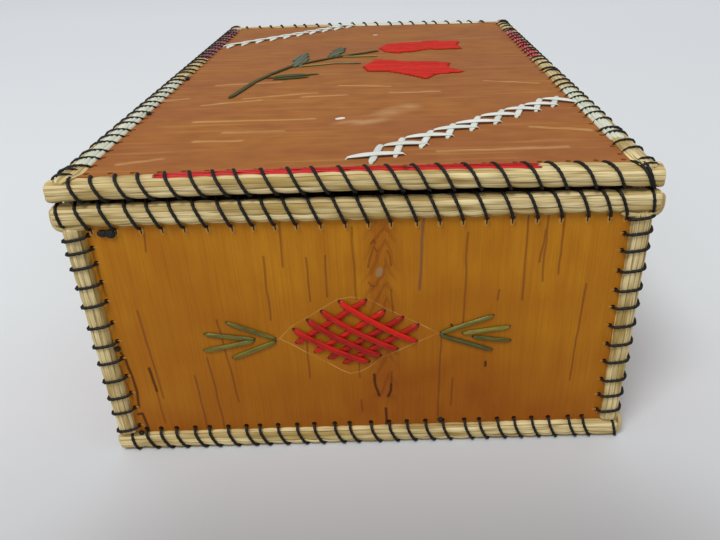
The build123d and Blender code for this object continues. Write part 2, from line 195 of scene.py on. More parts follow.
# %% [markdown]
# The walls are winter bark turned inside out, as makers do: its inner side is amber and satin, with
# the grain standing upright. What the eye gets: fine upright fibres under a millimetre apart,
# golden near the rim and redder towards the foot, and lenticels, the bark's breathing pores, as
# thin brown upright lines. Each wall is also painted darker towards its foot, as painted shade.
# On the front the marks lie where the photograph shows them, so each is written as two places in
# shares of the front sheet. A mark is drawn by measuring how far a point is from the line between
# its two places, which a handful of vector nodes can do.

# %% Marks on bark
front_low, front_high = node_box("front_panel")


def front_place(share):
    """Millimetres across and up for a place on the front sheet."""
    across = share[0] * (front_high[0] - front_low[0])
    return across, front_low[2] + share[1] * (front_high[2] - front_low[2])


def stroke(tree, place, start, end, width, edge=0.25):
    """A mark between two places, as a socket that is 1 along its middle and 0 beside it."""
    start, end = Vector((*start, 0)), Vector((*end, 0))
    run = end - start
    reach = add(tree, "VectorMath", {0: place, 1: start}, operation="SUBTRACT").outputs[0]
    share = {0: reach, 1: run / run.length_squared}
    share = add(tree, "VectorMath", share, operation="DOT_PRODUCT").outputs["Value"]
    share = add(tree, "Clamp", {"Value": share}).outputs[0]
    nearest = add(tree, "VectorMath", {0: run, "Scale": share}, operation="SCALE").outputs[0]
    away = add(tree, "VectorMath", {0: reach, 1: nearest}, operation="DISTANCE").outputs["Value"]
    fade = {"Value": away, 1: width * edge, 2: width, 3: 1.0, 4: 0.0}
    return add(tree, "MapRange", fade, interpolation_type="SMOOTHSTEP").outputs[0]


def strokes(tree, place, marks, place_of, width, edge=0.25):
    """All of a list of marks as one socket."""
    whole = None
    for start, end in marks:
        mark = stroke(tree, place, place_of(start), place_of(end), width, edge)
        if whole:
            mark = maths(tree, "MAXIMUM", whole, mark)
        whole = mark
    return whole


def chain(*places):
    """A run of marks joined end to end."""
    return tuple(zip(places, places[1:]))


def blend_in(tree, tone, mask, colour, most=1.0):
    """Mixes a colour over a tone by a mask."""
    if most != 1.0:
        mask = maths(tree, "MULTIPLY", mask, most)
    colours = {0: mask, 6: tone, 7: linear(colour)}
    return add(tree, "Mix", colours, data_type="RGBA").outputs[2]


def grain(tree, place, spread, detail=3.0):
    """Noise whose size is given in millimetres for each direction."""
    scale = {0: place, 1: [1 / size for size in spread]}
    scale = add(tree, "VectorMath", scale, operation="MULTIPLY").outputs[0]
    noise = add(tree, "TexNoise", {"Vector": scale, "Scale": 1.0, "Detail": detail})
    return noise.outputs[0]


def between(tree, value, low, high, least=0.0, most=1.0):
    """Stretches a value's range from low..high to least..most."""
    return add(tree, "MapRange", {"Value": value, 1: low, 2: high, 3: least, 4: most}).outputs[0]


def layered(tree, tone, *layers):
    """Lays noises over a tone. Each has the range that shows, the most it covers and its colour."""
    for noise, low, high, most, colour in layers:
        tone = blend_in(tree, tone, between(tree, noise, low, high, 0.0, most), colour)
    return tone


def plain_finish(name, roughness, spread, colours, depth=None, detail=3.0, **shader):
    """A finish of one noise between two colours. With a depth, the noise is its relief too."""
    material, tree, surface = new_material(name, roughness, **shader)
    noise = grain(tree, millimetres(tree), spread, detail)
    finish(tree, surface, mixed(tree, noise, *colours), noise if depth else None, depth)
    return material


def millimetres(tree):
    place = add(tree, "TexCoord").outputs["Object"]
    return add(tree, "VectorMath", {0: place, 1: (1 / MM,) * 3}, operation="MULTIPLY").outputs[0]


# %% The marks of the front sheet
front_lenticel_shares = (
    ((-0.180, 0.846), (-0.181, 0.564)),
    ((-0.142, 0.992), (-0.145, 0.801)),
    ((-0.099, 0.837), (-0.101, 0.645)),
    ((-0.065, 0.843), (-0.066, 0.663)),
    ((-0.436, 0.624), (-0.425, 0.187)),
    ((-0.286, 0.571), (-0.270, 0.155)),
    ((0.200, 0.923), (0.197, 0.520)),
    ((0.311, 0.993), (0.311, 0.624)),
    ((0.346, 0.998), (0.346, 0.708)),
    ((0.375, 0.993), (0.376, 0.737)),
    ((0.432, 0.689), (0.423, 0.221)),
    ((0.154, 0.475), (0.149, 0.046)),
    ((-0.389, 0.982), (-0.392, 0.882)),
    ((-0.318, 0.389), (-0.310, 0.012)),
    ((-0.114, 0.464), (-0.116, 0.272)),
    ((-0.351, 0.299), (-0.347, 0.016)),
    ((0.344, 0.926), (0.338, 0.792)),
    ((0.266, 0.673), (0.263, 0.627)),
    ((0.180, 0.249), (0.177, 0.105)),
)
broad_lenticel_shares = (((0.118, 0.993), (0.112, 0.687)),)
crack_shares = (
    *chain((-0.494, 0.936), (-0.491, 0.829), (-0.488, 0.694)),
    *chain((-0.499, 0.362), (-0.495, 0.269), (-0.491, 0.192)),
    *chain((-0.436, 0.227), (-0.434, 0.049)),
    ((-0.012, 0.958), (-0.011, 0.644)),
    *chain((-0.014, 0.341), (-0.013, 0.265)),
    ((-0.012, 0.145), (-0.010, 0.081)),
    *chain((0.022, 0.887), (0.027, 0.903), (0.030, 0.886)),
    *chain((0.015, 0.788), (0.017, 0.816), (0.027, 0.876), (0.031, 0.856)),
    *chain((0.057, 0.793), (0.056, 0.827), (0.051, 0.855)),
    *chain((0.015, 0.722), (0.019, 0.707), (0.024, 0.703)),
    *chain((0.057, 0.687), (0.058, 0.584)),
    *chain((0.052, 0.225), (0.054, 0.290)),
)
dark_crack_shares = (
    *chain((-0.489, 0.425), (-0.483, 0.386), (-0.481, 0.324), (-0.477, 0.220), (-0.480, 0.142)),
    *chain((-0.486, 0.103), (-0.477, 0.107), (-0.473, 0.042), (-0.472, -0.010)),
    ((-0.441, 0.344), (-0.436, 0.227)),
    *chain((0.016, 0.279), (0.018, 0.219), (0.026, 0.167)),
    *chain((0.052, 0.225), (0.050, 0.191), (0.044, 0.162)),
    *chain((0.037, 0.096), (0.038, 0.042), (0.038, -0.005)),
    ((0.175, 0.516), (0.176, 0.512)),
    ((0.245, 0.328), (0.245, 0.308)),
)
scar_shares = (
    ((0.041, 0.940), (0.037, 0.743)),
    ((0.036, 0.763), (0.032, 0.369)),
    ((0.038, 0.389), (0.037, 0.192)),
)
scar_eye_shares = (((0.035, 0.777), (0.033, 0.758)),)
scribed_shares = chain(
    (-0.169, 0.474), (-0.143, 0.529), (-0.082, 0.606), (-0.047, 0.651), (-0.021, 0.660),
    (0.014, 0.647), (0.046, 0.600), (0.113, 0.525), (0.149, 0.480), (0.106, 0.438),
    (0.033, 0.366), (0.006, 0.320), (-0.012, 0.298), (-0.031, 0.290), (-0.049, 0.308),
    (-0.104, 0.385), (-0.136, 0.431), (-0.169, 0.474),
)
lenticel_width = 0.46
scribed_width = 0.26
scar_width = 7.0
scar_middle = front_place((0.048, 0))[0]
front_marks = {
    "eye": (scar_eye_shares, 1.2, 0.5, "#9A7C58", 0.8),
    "thin": (front_lenticel_shares, lenticel_width, 0.25, "#62301C", 0.55),
    "broad": (broad_lenticel_shares, 1.5 * lenticel_width, 0.25, "#6F4A38", 0.7),
    "crack": (crack_shares, lenticel_width, 0.25, "#562008", 0.4),
    "dark": (dark_crack_shares, 1.5 * lenticel_width, 0.25, "#33120A", 0.8),
}
mark_relief = {"flame": -0.6, "crack": -0.8, "dark": -1.0, "thin": -0.4, "scar": 1.5}

# %% Amber wall bark


def front_details(tree, tone, across, up, flat, mottle, relief):
    """The branch scar, pores, cracks and scribed line of the front sheet: its tone and relief."""
    scar = strokes(tree, flat, scar_shares, front_place, scar_width, 0.1)
    middle = maths(tree, "ABSOLUTE", maths(tree, "SUBTRACT", across, scar_middle))
    flame = maths(tree, "MULTIPLY_ADD", up, 0.55, middle)
    flame = maths(tree, "MULTIPLY_ADD", mottle, 9.0, flame)
    flame = maths(tree, "SINE", maths(tree, "MULTIPLY", flame, 1.7))
    flame = maths(tree, "MULTIPLY", between(tree, flame, 0.1, 1.0), scar)
    tone = blend_in(tree, tone, scar, "#8F4712", 0.45)
    tone = blend_in(tree, tone, flame, "#743210", 0.38)
    made = {"scar": scar, "flame": flame}
    for kind, (shares, width, edge, colour, most) in front_marks.items():
        made[kind] = strokes(tree, flat, shares, front_place, width, edge)
        tone = blend_in(tree, tone, made[kind], colour, most)
    scribed = strokes(tree, flat, scribed_shares, front_place, scribed_width)
    worn = between(tree, mottle, 0.4, 0.6, 0.25, 1.0)
    tone = blend_in(tree, tone, maths(tree, "MULTIPLY", scribed, worn), "#DDB069", 0.5)
    for kind, sink in mark_relief.items():
        relief = maths(tree, "MULTIPLY_ADD", made[kind], sink, relief)
    return tone, relief


def wall_bark(name, marked):
    """Amber inner bark with an upright grain. The marked one is the front sheet."""
    material, tree, surface = new_material(name, 0.42, Specular_IOR_Level=0.12)
    place = millimetres(tree)
    parts = add(tree, "SeparateXYZ", {0: place}).outputs
    fibre = grain(tree, place, (0.55, 0.55, 26))
    band = grain(tree, place, (3.2, 3.2, 40), 2.0)
    mottle = grain(tree, place, (7, 7, 15), 4.0)
    cloud = grain(tree, place, (45, 45, 30), 2.0)
    # Painted shade: the bark's tone grows darker towards the foot of the wall, made uneven by noise.
    height = between(tree, parts[2], front_low[2], front_high[2], 0.85, 0.0)
    deep = maths(tree, "MULTIPLY_ADD", cloud, 1.5, -0.75)
    deep = maths(tree, "ADD", height, deep, use_clamp=True)
    tone = layered(
        tree,
        mixed(tree, deep, "#BB7C18", "#94500E"),
        (band, 0.35, 0.7, 0.26, "#95500F"),
        (mottle, 0.42, 0.72, 0.55, "#A66212"),
        (fibre, 0.45, 0.75, 0.24, "#7A430C"),
    )
    across = parts[0] if marked else maths(tree, "ADD", parts[0], parts[1])
    sway = maths(tree, "MULTIPLY_ADD", grain(tree, place, (9, 9, 9), 1.0), 1.0, -0.5)
    across = maths(tree, "ADD", across, sway)
    flat = add(tree, "CombineXYZ", {0: across, 1: parts[2]}).outputs[0]
    relief = fibre
    if marked:
        tone, relief = front_details(tree, tone, across, parts[2], flat, mottle, relief)
    else:
        pores = grain(tree, flat, (0.9, 34, 1), 1.0)
        tone = layered(tree, tone, (pores, 0.72, 0.78, 0.6, "#5C2E14"))
    finish(tree, surface, tone, relief, 0.16)
    return material


front_bark = wall_bark("amber_front_bark", True)
side_bark = wall_bark("amber_side_bark", False)
base_bark = wall_bark("amber_base_bark", False)

# %% [markdown]
# The lid is a redder piece of the same bark with its grain across the box. The eye sees soft tan
# and rust clouds with pale dry streaks lying across, each a few centimetres long. The streaks and
# a pale smudge are placed from the photograph, in shares of the lid's sheet, and finer streaks
# come from noise that is stretched across the box. Two tiny chips show the pale bark below. The
# linings are scraped bark, pale and dry, with the grain across.

# %% Reddish lid bark and pale lining
lid_low, lid_high = node_box("lid_panel")


def lid_place(share):
    """Millimetres across and back for a place on the lid's bark."""
    return share[0] * (lid_high[0] - lid_low[0]), lid_low[1] + share[1] * (lid_high[1] - lid_low[1])


lid_streak_shares = (
    ((-0.381, 0.293), (-0.250, 0.314)),
    ((-0.292, 0.326), (-0.118, 0.351)),
    ((-0.147, 0.327), (-0.042, 0.334)),
    ((-0.366, 0.204), (-0.105, 0.205)),
    ((-0.284, 0.151), (-0.161, 0.153)),
    ((-0.332, 0.116), (-0.239, 0.116)),
    ((-0.388, 0.417), (-0.226, 0.431)),
    ((-0.508, 0.320), (-0.433, 0.335)),
    ((-0.442, 0.038), (-0.370, 0.054)),
    ((0.070, 0.339), (0.189, 0.340)),
    ((0.318, 0.403), (0.448, 0.378)),
    ((0.357, 0.143), (0.471, 0.122)),
    ((0.154, 0.055), (0.399, 0.058)),
    ((-0.062, 0.395), (0.066, 0.382)),
)
lid_smudge_shares = chain((-0.029, 0.177), (0.035, 0.201), (0.080, 0.241), (0.107, 0.257))
lid_chip_shares = (
    ((-0.049, 0.204), (-0.042, 0.206)),
    ((0.023, 0.863), (0.027, 0.863)),
)


def lid_bark():
    material, tree, surface = new_material("reddish_lid_bark", 0.55, Specular_IOR_Level=0.04)
    place = millimetres(tree)
    fibre = grain(tree, place, (22, 0.7, 0.7), 4.0)
    streak = grain(tree, place, (38, 2.6, 2.6), 3.0)
    cloud = grain(tree, place, (60, 34, 34), 4.0)
    mottle = grain(tree, place, (12, 6, 6), 5.0)
    tone = layered(
        tree,
        mixed(tree, between(tree, cloud, 0.35, 0.65), "#A3672E", "#9A5E33"),
        (mottle, 0.42, 0.7, 0.6, "#884F25"),
        (streak, 0.55, 0.72, 0.6, "#B57E3E"),
        (fibre, 0.48, 0.78, 0.28, "#7E4824"),
    )
    flat = wandering(tree, place, mottle)
    pale = strokes(tree, flat, lid_streak_shares, lid_place, 1.6, 0.2)
    pale = maths(tree, "MULTIPLY", pale, between(tree, fibre, 0.35, 0.6, 0.25, 1.0))
    tone = blend_in(tree, tone, pale, "#CFA468", 0.6)
    smudge = strokes(tree, flat, lid_smudge_shares, lid_place, 7.0, 0.1)
    smudge = maths(tree, "MULTIPLY", smudge, between(tree, mottle, 0.4, 0.65))
    tone = blend_in(tree, tone, smudge, "#C9A071", 0.6)
    chips = strokes(tree, flat, lid_chip_shares, lid_place, 1.3, 0.8)
    tone = blend_in(tree, tone, chips, "#E8E2D8", 0.9)
    relief = maths(tree, "MULTIPLY_ADD", chips, -1.0, fibre)
    finish(tree, surface, tone, relief, 0.08)
    return material


def wandering(tree, place, noise):
    """Places on the lid as seen from above, with a small wander so that no mark is ruled."""
    parts = add(tree, "SeparateXYZ", {0: place}).outputs
    back = maths(tree, "MULTIPLY_ADD", noise, 3.0, parts[1])
    back = maths(tree, "SUBTRACT", back, 1.5)
    return add(tree, "CombineXYZ", {0: parts[0], 1: back}).outputs[0]


bark_finish = {
    "front_panel": front_bark,
    "lid_panel": lid_bark(),
    "base_panel": base_bark,
    "left_panel": side_bark,
    "right_panel": side_bark,
    "back_panel": side_bark,
}
lining = plain_finish("pale_lining_bark", 0.75, (20, 1.1, 1.1), ("#C79E6C", "#A87B4C"), 0.08, 4.0)
for node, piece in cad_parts.items():
    if node.endswith("_lining") or node in bark_finish:
        piece.data.materials.clear()
        piece.data.materials.append(bark_finish.get(node, lining))
print("bark finished on", len(bark_finish), "sheets")

# %% [markdown]
# Dried sweetgrass is straw coloured and satin. Each stem has its own tone, a few are brown, and
# the gaps between stems are darkened as painted shade. The pattern follows each bundle through
# its UV map: along the bundle in millimetres, and once round it from 0 to 1, so a stem keeps its
# tone along its length.
# The thread is black: its wax fills the twist and leaves a dull shine.

# %% Sweetgrass, cut ends and waxed thread
stems_round = 11


def sweetgrass(name, gap_shade_most):
    material, tree, surface = new_material(name, 0.55, Specular_IOR_Level=0.12)
    along, rounds, _ = add(tree, "SeparateXYZ", {0: add(tree, "UVMap").outputs[0]}).outputs
    rounds = maths(tree, "MULTIPLY", rounds, stems_round)
    stem = maths(tree, "FLOOR", rounds)
    spot = add(tree, "CombineXYZ", {0: along, 1: stem}).outputs[0]
    own = grain(tree, spot, (26, 0.31, 1), 1.0)
    lines = add(tree, "CombineXYZ", {0: along, 1: rounds}).outputs[0]
    fibre = grain(tree, lines, (11, 0.16, 1), 4.0)
    crease = grain(tree, lines, (20, 0.4, 1), 1.0)
    fade = grain(tree, lines, (15, 1.3, 1), 1.0)
    tone = layered(
        tree,
        mixed(tree, between(tree, own, 0.36, 0.64), "#E9D5A0", "#B2975A"),
        (fibre, 0.47, 0.68, 0.7, "#8E7542"),
        (crease, 0.6, 0.7, 0.7, "#7C5E30"),
    )
    # Painted shade: the gaps between stems are darkened, more in some places than others by noise.
    painted_gap_shade = between(tree, off_middle(tree, rounds), 0.4, 0.49, 0.0, gap_shade_most)
    painted_gap_shade = maths(tree, "MULTIPLY", painted_gap_shade, between(tree, fade, 0.38, 0.58, 0.25, 1.0))
    finish(tree, surface, blend_in(tree, tone, painted_gap_shade, "#5E4925"), fibre, 0.14)
    return material


def off_middle(tree, rounds):
    """How far a place is from the middle of its stem or quill: 0 there and 0.5 at the sides."""
    within = maths(tree, "SUBTRACT", maths(tree, "FRACT", rounds), 0.5)
    return maths(tree, "ABSOLUTE", within)


def cut_ends():
    """The cut end of a bundle: rings of pale stem round hollows painted dark as painted shade."""
    material, tree, surface = new_material("cut_sweetgrass_ends", 0.8)
    cells = add(tree, "TexVoronoi", {"Vector": millimetres(tree), "Scale": 0.8}).outputs[0]
    # Painted shade: the middle of each cell, a stem's hollow, is painted dark.
    tone = mixed(tree, between(tree, cells, 0.12, 0.3), "#5A4120", "#CDB47E")
    finish(tree, surface, tone, cells, 0.3)
    return material


grass_finish = sweetgrass("dried_sweetgrass", 0.75)
post_finish = sweetgrass("dried_sweetgrass_uprights", 0.95)
cut_finish = cut_ends()
thread_tones = ("#0F0E0C", "#23211D")
thread_finish = plain_finish(
    "black_waxed_thread", 0.55, (0.6, 0.6, 0.6), thread_tones, 0.08, Specular_IOR_Level=0.3
)

# %% [markdown]
# Porcupine quills are hollow keratin, flattened by the maker's teeth or nails and pushed into the
# bark while damp. They are as glossy as fingernail, with fine lines along them. The dye gathers at
# the folded ends, which are nearly black, and each quill took the dye a little differently. The UV
# map holds the millimetres to the nearer end, and the way round plus a whole number per quill.

# %% Dyed and natural quills


def quill_finish(name, bright, deep, tip, roughness=0.22, tip_run=1.3, shine=0.25):
    material, tree, surface = new_material(
        name, roughness, Specular_IOR_Level=shine, Coat_Weight=0.4 * shine, Coat_Roughness=0.1
    )
    place = add(tree, "UVMap").outputs[0]
    to_end, rounds, _ = add(tree, "SeparateXYZ", {0: place}).outputs
    streak = grain(tree, place, (5, 0.12, 1))
    own = maths(tree, "FLOOR", rounds)
    own = add(tree, "TexWhiteNoise", {"W": own}, noise_dimensions="1D").outputs["Value"]
    dyed = maths(tree, "MULTIPLY_ADD", own, 0.45, streak)
    tone = mixed(tree, between(tree, dyed, 0.45, 1.0), bright, deep)
    # Painted shade: each quill is darker towards its flanks, where it meets its neighbours.
    flank_for_shade = off_middle(tree, rounds)
    tone = blend_in(tree, tone, between(tree, flank_for_shade, 0.16, 0.3, 0.0, 0.6), deep)
    tone = blend_in(tree, tone, between(tree, to_end, 0.45 * tip_run, tip_run, 0.95, 0.0), tip)
    finish(tree, surface, tone, streak, 0.04)
    return material


red_quill = quill_finish("red_dyed_quill", "#D01A0A", "#980C06", "#2A0806")
bloom_quill = quill_finish("red_bloom_quill", "#D02A1A", "#B21C12", "#A81A12", 0.6, shine=0.06)
edging_red = quill_finish("red_edging_quill", "#DE241A", "#B01616", "#7A1216", 0.35, 3.0)
olive_quill = quill_finish("olive_dyed_quill", "#85802E", "#3C3A12", "#14120A", shine=0.35)
stem_quill = quill_finish("dark_green_stem_quill", "#504E18", "#33330E", "#2A2A0E", 0.5, shine=0.08)
leaf_quill = quill_finish("green_dyed_quill", "#4E5220", "#383C16", "#2A2E14", 0.5, shine=0.08)
bud_quill = quill_finish("bluish_green_quill", "#606650", "#434A34", "#3A4030", 0.5, shine=0.08)
white_quill = quill_finish("natural_white_quill", "#E2E4DC", "#C9CCC0", "#C4C2B0", 0.3)
pale_edging = quill_finish("pale_edging_quill", "#E2E4D2", "#C9CDB4", "#C2C4A8", 0.3)
maroon_quill = quill_finish("maroon_dyed_quill", "#96404C", "#702A34", "#471A22", 0.3)

# %% [markdown]
# ## The sides of the box
# Each lashing and bundle is laid out as if its side were the front, with "along" to the right as
# seen from outside, "inboard" towards the middle and "up", and is then turned about the upright
# axis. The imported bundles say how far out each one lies, how high, and how far it runs.

# %% Sides and stitch places
sides = {"front": 0, "right": 90, "back": 180, "left": 270}


def roll_line(level, side):
    """How far out a bundle's middle lies, its height, and how far it runs each way."""
    low, high = node_box(f"{level}_grass_{side}")
    middle = (low + high) / 2
    out = 1 if side in ("front", "back") else 0
    return abs(middle[out]), middle[2], (high[1 - out] - low[1 - out]) / 2


def on_side(side, along, out, up):
    """Turns places beside the front into places beside the named side. Arrays in, array out."""
    angle = radians(sides[side])
    x = np.asarray(along) * cos(angle) + np.asarray(out) * sin(angle)
    y = np.asarray(along) * sin(angle) - np.asarray(out) * cos(angle)
    return np.stack([x, y, np.asarray(up) + 0 * x], axis=-1)


side_line = roll_line("rim", "right")[0]
end_line = roll_line("rim", "front")[0]
run_out = {"front": side_line, "right": end_line, "back": side_line, "left": end_line}
pitches = {"rim": 6.65, "lid": 7.15, "base": 6.1}
corner_pitch = 6.2
row_end_room = 4.2
most_loops = 24
uneven_shares = (0.0, 0.07, -0.05, 0.03, 0.09, -0.08, 0.04, -0.03, -0.09, 0.05, 0.02)
tie_shares = (-0.40, -0.05, 0.36)
tie_pitch = 4.2
tie_turns = 2
tie_room = 10.5
front_row_shares = {
    "rim": (
        -0.483, -0.439, -0.394, -0.355, -0.315, -0.273, -0.229, -0.190, -0.151, -0.112, -0.068,
        -0.023, 0.019, 0.060, 0.107, 0.149, 0.191, 0.234, 0.281, 0.326, 0.370, 0.418, 0.458, 0.487,
    ),
    "lid": (
        -0.484, -0.441, -0.401, -0.353, -0.309, -0.268, -0.230, -0.182, -0.135, -0.092, -0.044,
        0.003, 0.041, 0.088, 0.131, 0.179, 0.231, 0.286, 0.330, 0.382, 0.432, 0.482,
    ),
    "base": (
        -0.477, -0.446, -0.413, -0.373, -0.342, -0.302, -0.263, -0.234, -0.195, -0.154, -0.117,
        -0.073, -0.041, 0.005, 0.044, 0.082, 0.122, 0.159, 0.206, 0.238, 0.277, 0.313, 0.351,
        0.387, 0.430, 0.460,
    ),
}
bark_width = front_high[0] - front_low[0]
bark_length = node_box("lid_panel")[1][1] - node_box("lid_panel")[0][1]
tie_places = [share * bark_length for share in tie_shares]


def in_runs(places):
    """Stitch places shared out in runs of one thread each."""
    size = ceil(len(places) / ceil(len(places) / most_loops))
    return [places[i : i + size] for i in range(0, len(places), size)]


def stitch_runs(level, side):
    """The stitches of one edge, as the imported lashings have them."""
    if side == "front":
        return in_runs([share * bark_width for share in front_row_shares[level]])
    limit = run_out[side] - (lid_hole if level == "lid" else wall_hole) - row_end_room
    edges = [-limit]
    if side == "right" and level != "base":
        for tie in tie_places:
            edges += [tie - tie_room, tie + tie_room]
    edges.append(limit)
    runs = []
    for low, high in zip(edges[::2], edges[1::2]):
        count = floor((high - low) / pitches[level]) + 1
        first = (low + high) / 2 - (count - 1) * pitches[level] / 2
        sway = [uneven_shares[i % len(uneven_shares)] for i in range(count)]
        sway[0] = sway[-1] = 0
        runs += in_runs([first + (i + sway[i]) * pitches[level] for i in range(count)])
    return runs


rows = {(level, side): stitch_runs(level, side) for level in pitches for side in sides}
print({f"{level} {side}": sum(map(len, runs)) for (level, side), runs in rows.items()})

# %% [markdown]
# One loop of each lashing is a list of corners seen from the end of its bundle: inboard, up, and
# the share of the space between two stitches that the thread has moved along by then. A smooth
# curve through these corners hugs the bundle and passes through the hole in the bark.

# %% The loops
side_drop = 0.66 * thread_line
lid_tuck = 0.45 * thread_line
rim_loop = (
    (thread_line, thread_line, -0.58),
    (-thread_line, thread_line, -0.42),
    (-thread_line, -side_drop, -0.1),
    (-wall_mouth, -wall_hole, 0),
    (inner_mouth, -wall_hole, 0),
    (thread_line, -side_drop, 0.1),
)
lid_loop = (
    (lid_hole, -0.57 * thread_line, 0),
    (lid_hole, 0.9 * thread_line, 0.22),
    (-thread_line, thread_line, 0.52),
    (-thread_line, -thread_line, 0.92),
    (lid_tuck, -thread_line, 1.0),
)


def loop_of_two_holes(*shares):
    """A loop that passes through the two sheets which meet inside its bundle."""
    spots = (
        (inner_mouth, wall_hole),
        (-wall_mouth, wall_hole),
        (-thread_line, side_drop),
        (-thread_line, -thread_line),
        (side_drop, -thread_line),
        (wall_hole, -wall_mouth),
        (wall_hole, inner_mouth),
    )
    return tuple((*spot, share) for spot, share in zip(spots, shares))


base_loop = loop_of_two_holes(0, 0, 0.08, 0.5, 0.62, 0.7, 0.7)
corner_loop = loop_of_two_holes(0, 0, 0.08, 0.2, 0.32, 0.4, 0.4)
loops = {"rim": rim_loop, "lid": lid_loop, "base": base_loop}
bodies = {"rim": "box", "lid": "lid", "base": "box"}
lowest = {"base": 0.0}
bowed = {("lid", "front"), ("lid", "back")}

# %% [markdown]
# ## Handling pieces
# A few short helpers do what every piece needs: they read and move its points, copy it, close and
# join it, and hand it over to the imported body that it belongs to.

# %% Helpers for pieces


def select_where(piece, rule):
    """Selects, in edit mode, the vertices whose place passes a rule. Vertex mode stays on."""
    bpy.ops.object.mode_set(mode="OBJECT")
    for vertex in piece.data.vertices:
        vertex.select = bool(rule(vertex.co))
    bpy.ops.object.mode_set(mode="EDIT")
    bpy.ops.mesh.select_mode(type="VERT")


def points_of(piece):
    coords = np.zeros(len(piece.data.vertices) * 3)
    piece.data.vertices.foreach_get("co", coords)
    return coords.reshape(-1, 3)


def move_points(piece, place):
    """Moves a mesh's points to places in millimetres."""
    piece.data.vertices.foreach_set("co", (place * MM).ravel())
    piece.data.update()


def copy_of(original, name=None):
    piece = original.copy()
    piece.data = original.data.copy()
    piece.name = name or original.name
    bpy.context.collection.objects.link(piece)
    return piece


def make_active(*pieces):
    deselect()
    for piece in pieces:
        piece.select_set(True)
    bpy.context.view_layer.objects.active = pieces[0]


def joined(name, pieces, material):
    """Joins pieces into one with a name and a finish, shaded smooth."""
    make_active(*pieces)
    if len(pieces) > 1:
        bpy.ops.object.join()
    whole = bpy.context.object
    whole.name = name
    whole.data.name = name
    whole.data.materials.clear()
    whole.data.materials.append(material)
    bpy.ops.object.shade_smooth()
    return whole


def hand_over(piece, body, slot, *nodes):
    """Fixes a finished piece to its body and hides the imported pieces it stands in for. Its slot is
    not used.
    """
    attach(piece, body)
    if nodes:
        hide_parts(*nodes)


def close_and_face_outwards():
    """In edit mode: closes the selected rim, and turns all faces to look outwards."""
    bpy.ops.mesh.edge_face_add()
    bpy.ops.mesh.select_all(action="SELECT")
    bpy.ops.mesh.normals_make_consistent(inside=False)
    bpy.ops.object.mode_set(mode="OBJECT")


# %% [markdown]
# ## Thread
# Real lashing thread is two plies twisted together. One turn of the twist is modelled by hand: a
# ring of eight points is squeezed to the outline of two touching plies, then extruded and turned
# an eighth at a time. An Array repeats that turn along a curve, and a Curve modifier bends it.

# %% One turn of twisted thread
ply_steps = 8
twist_run = 3.4
ply_waist = 0.8
route_steps = 7
merge_within = 0.02


def twisted_turn():
    """One full turn of two-ply thread along X, from the origin."""
    deselect()
    radius = thread_diameter / 2 * MM
    bpy.ops.mesh.primitive_circle_add(vertices=ply_steps, radius=radius, rotation=(0, radians(90), 0))
    piece = bpy.context.object
    piece.name = "thread_turn"
    bpy.ops.object.transform_apply(location=True, rotation=True, scale=True)
    waist = radius * 0.5
    select_where(piece, lambda co: abs(co.y) < waist)
    bpy.ops.transform.resize(value=(1, 1, ply_waist))
    bpy.ops.mesh.select_all(action="SELECT")
    for _ in range(ply_steps):
        step = (twist_run / ply_steps * MM, 0, 0)
        bpy.ops.mesh.extrude_region_move(TRANSFORM_OT_translate={"value": step})
        bpy.ops.transform.rotate(
            value=2 * pi / ply_steps, orient_axis="X", orient_type="GLOBAL", center_override=(0, 0, 0)
        )
    bpy.ops.object.mode_set(mode="OBJECT")
    return piece


thread_turn = twisted_turn()
print("one turn of thread has", len(thread_turn.data.polygons), "faces")


def smooth_route(name, points):
    """A curve that runs smoothly past a list of points in millimetres."""
    deselect()
    bpy.ops.curve.primitive_nurbs_path_add(location=(0, 0, 0))
    route = bpy.context.object
    route.name = name
    route.data.splines.clear()
    spline = route.data.splines.new("NURBS")
    spline.points.add(len(points) - 1)
    for point, place in zip(spline.points, points):
        point.co = (*(v * MM for v in place), 1)
    spline.order_u = 3
    spline.use_endpoint_u = True
    spline.resolution_u = route_steps
    return route


def laid_thread(name, points, floor_at=None, fine=1.0):
    """A twisted thread along a route, as a mesh of its own."""
    route = smooth_route(name + "_route", points)
    piece = copy_of(thread_turn, name)
    make_active(piece)
    piece.scale = (1, fine, fine)
    bpy.ops.object.transform_apply(location=False, rotation=False, scale=True)
    repeat = piece.modifiers.new("repeat", "ARRAY")
    repeat.fit_type = "FIT_CURVE"
    repeat.curve = route
    repeat.use_merge_vertices = True
    repeat.merge_threshold = merge_within * MM
    bend = piece.modifiers.new("bend", "CURVE")
    bend.object = route
    for modifier in ("repeat", "bend"):
        bpy.ops.object.modifier_apply(modifier=modifier)
    bpy.ops.object.mode_set(mode="EDIT")
    bpy.ops.mesh.select_all(action="DESELECT")
    bpy.ops.mesh.select_non_manifold()
    close_and_face_outwards()
    bpy.data.objects.remove(route)
    if floor_at is not None:
        for vertex in piece.data.vertices:
            vertex.co.z = max(vertex.co.z, floor_at)
    return piece


def edge_points(loop, places, pitch, side, distance, height):
    points = []
    for place in places:
        for inboard, up, share in loop:
            points.append(on_side(side, place + share * pitch, distance - inboard, height + up))
    return points


# %% How a bundle lies along its edge
over_corner = 4.6
climb = 1.7
climb_inside, climb_outside = 3.0, 1.5
flatten = 0.68
drawn_in = 0.25


def lay_edge(level, side):
    """A rule that lays places along an edge. The lid's side bundles climb over its corners."""
    distance, height, reach = roll_line(level, side)

    def lay(along, out, up):
        if level != "lid" or (level, side) in bowed:
            return on_side(side, along, distance + out, height + up)
        over = (np.abs(along) - (reach - climb_inside)) / (over_corner + climb_outside)
        over = np.clip(over, 0, 1)
        over = over * over * (3 - 2 * over)
        lifted = height + climb * over + up * (1 - flatten * over)
        return on_side(side, along, distance + out * (1 - drawn_in * over), lifted)

    return lay


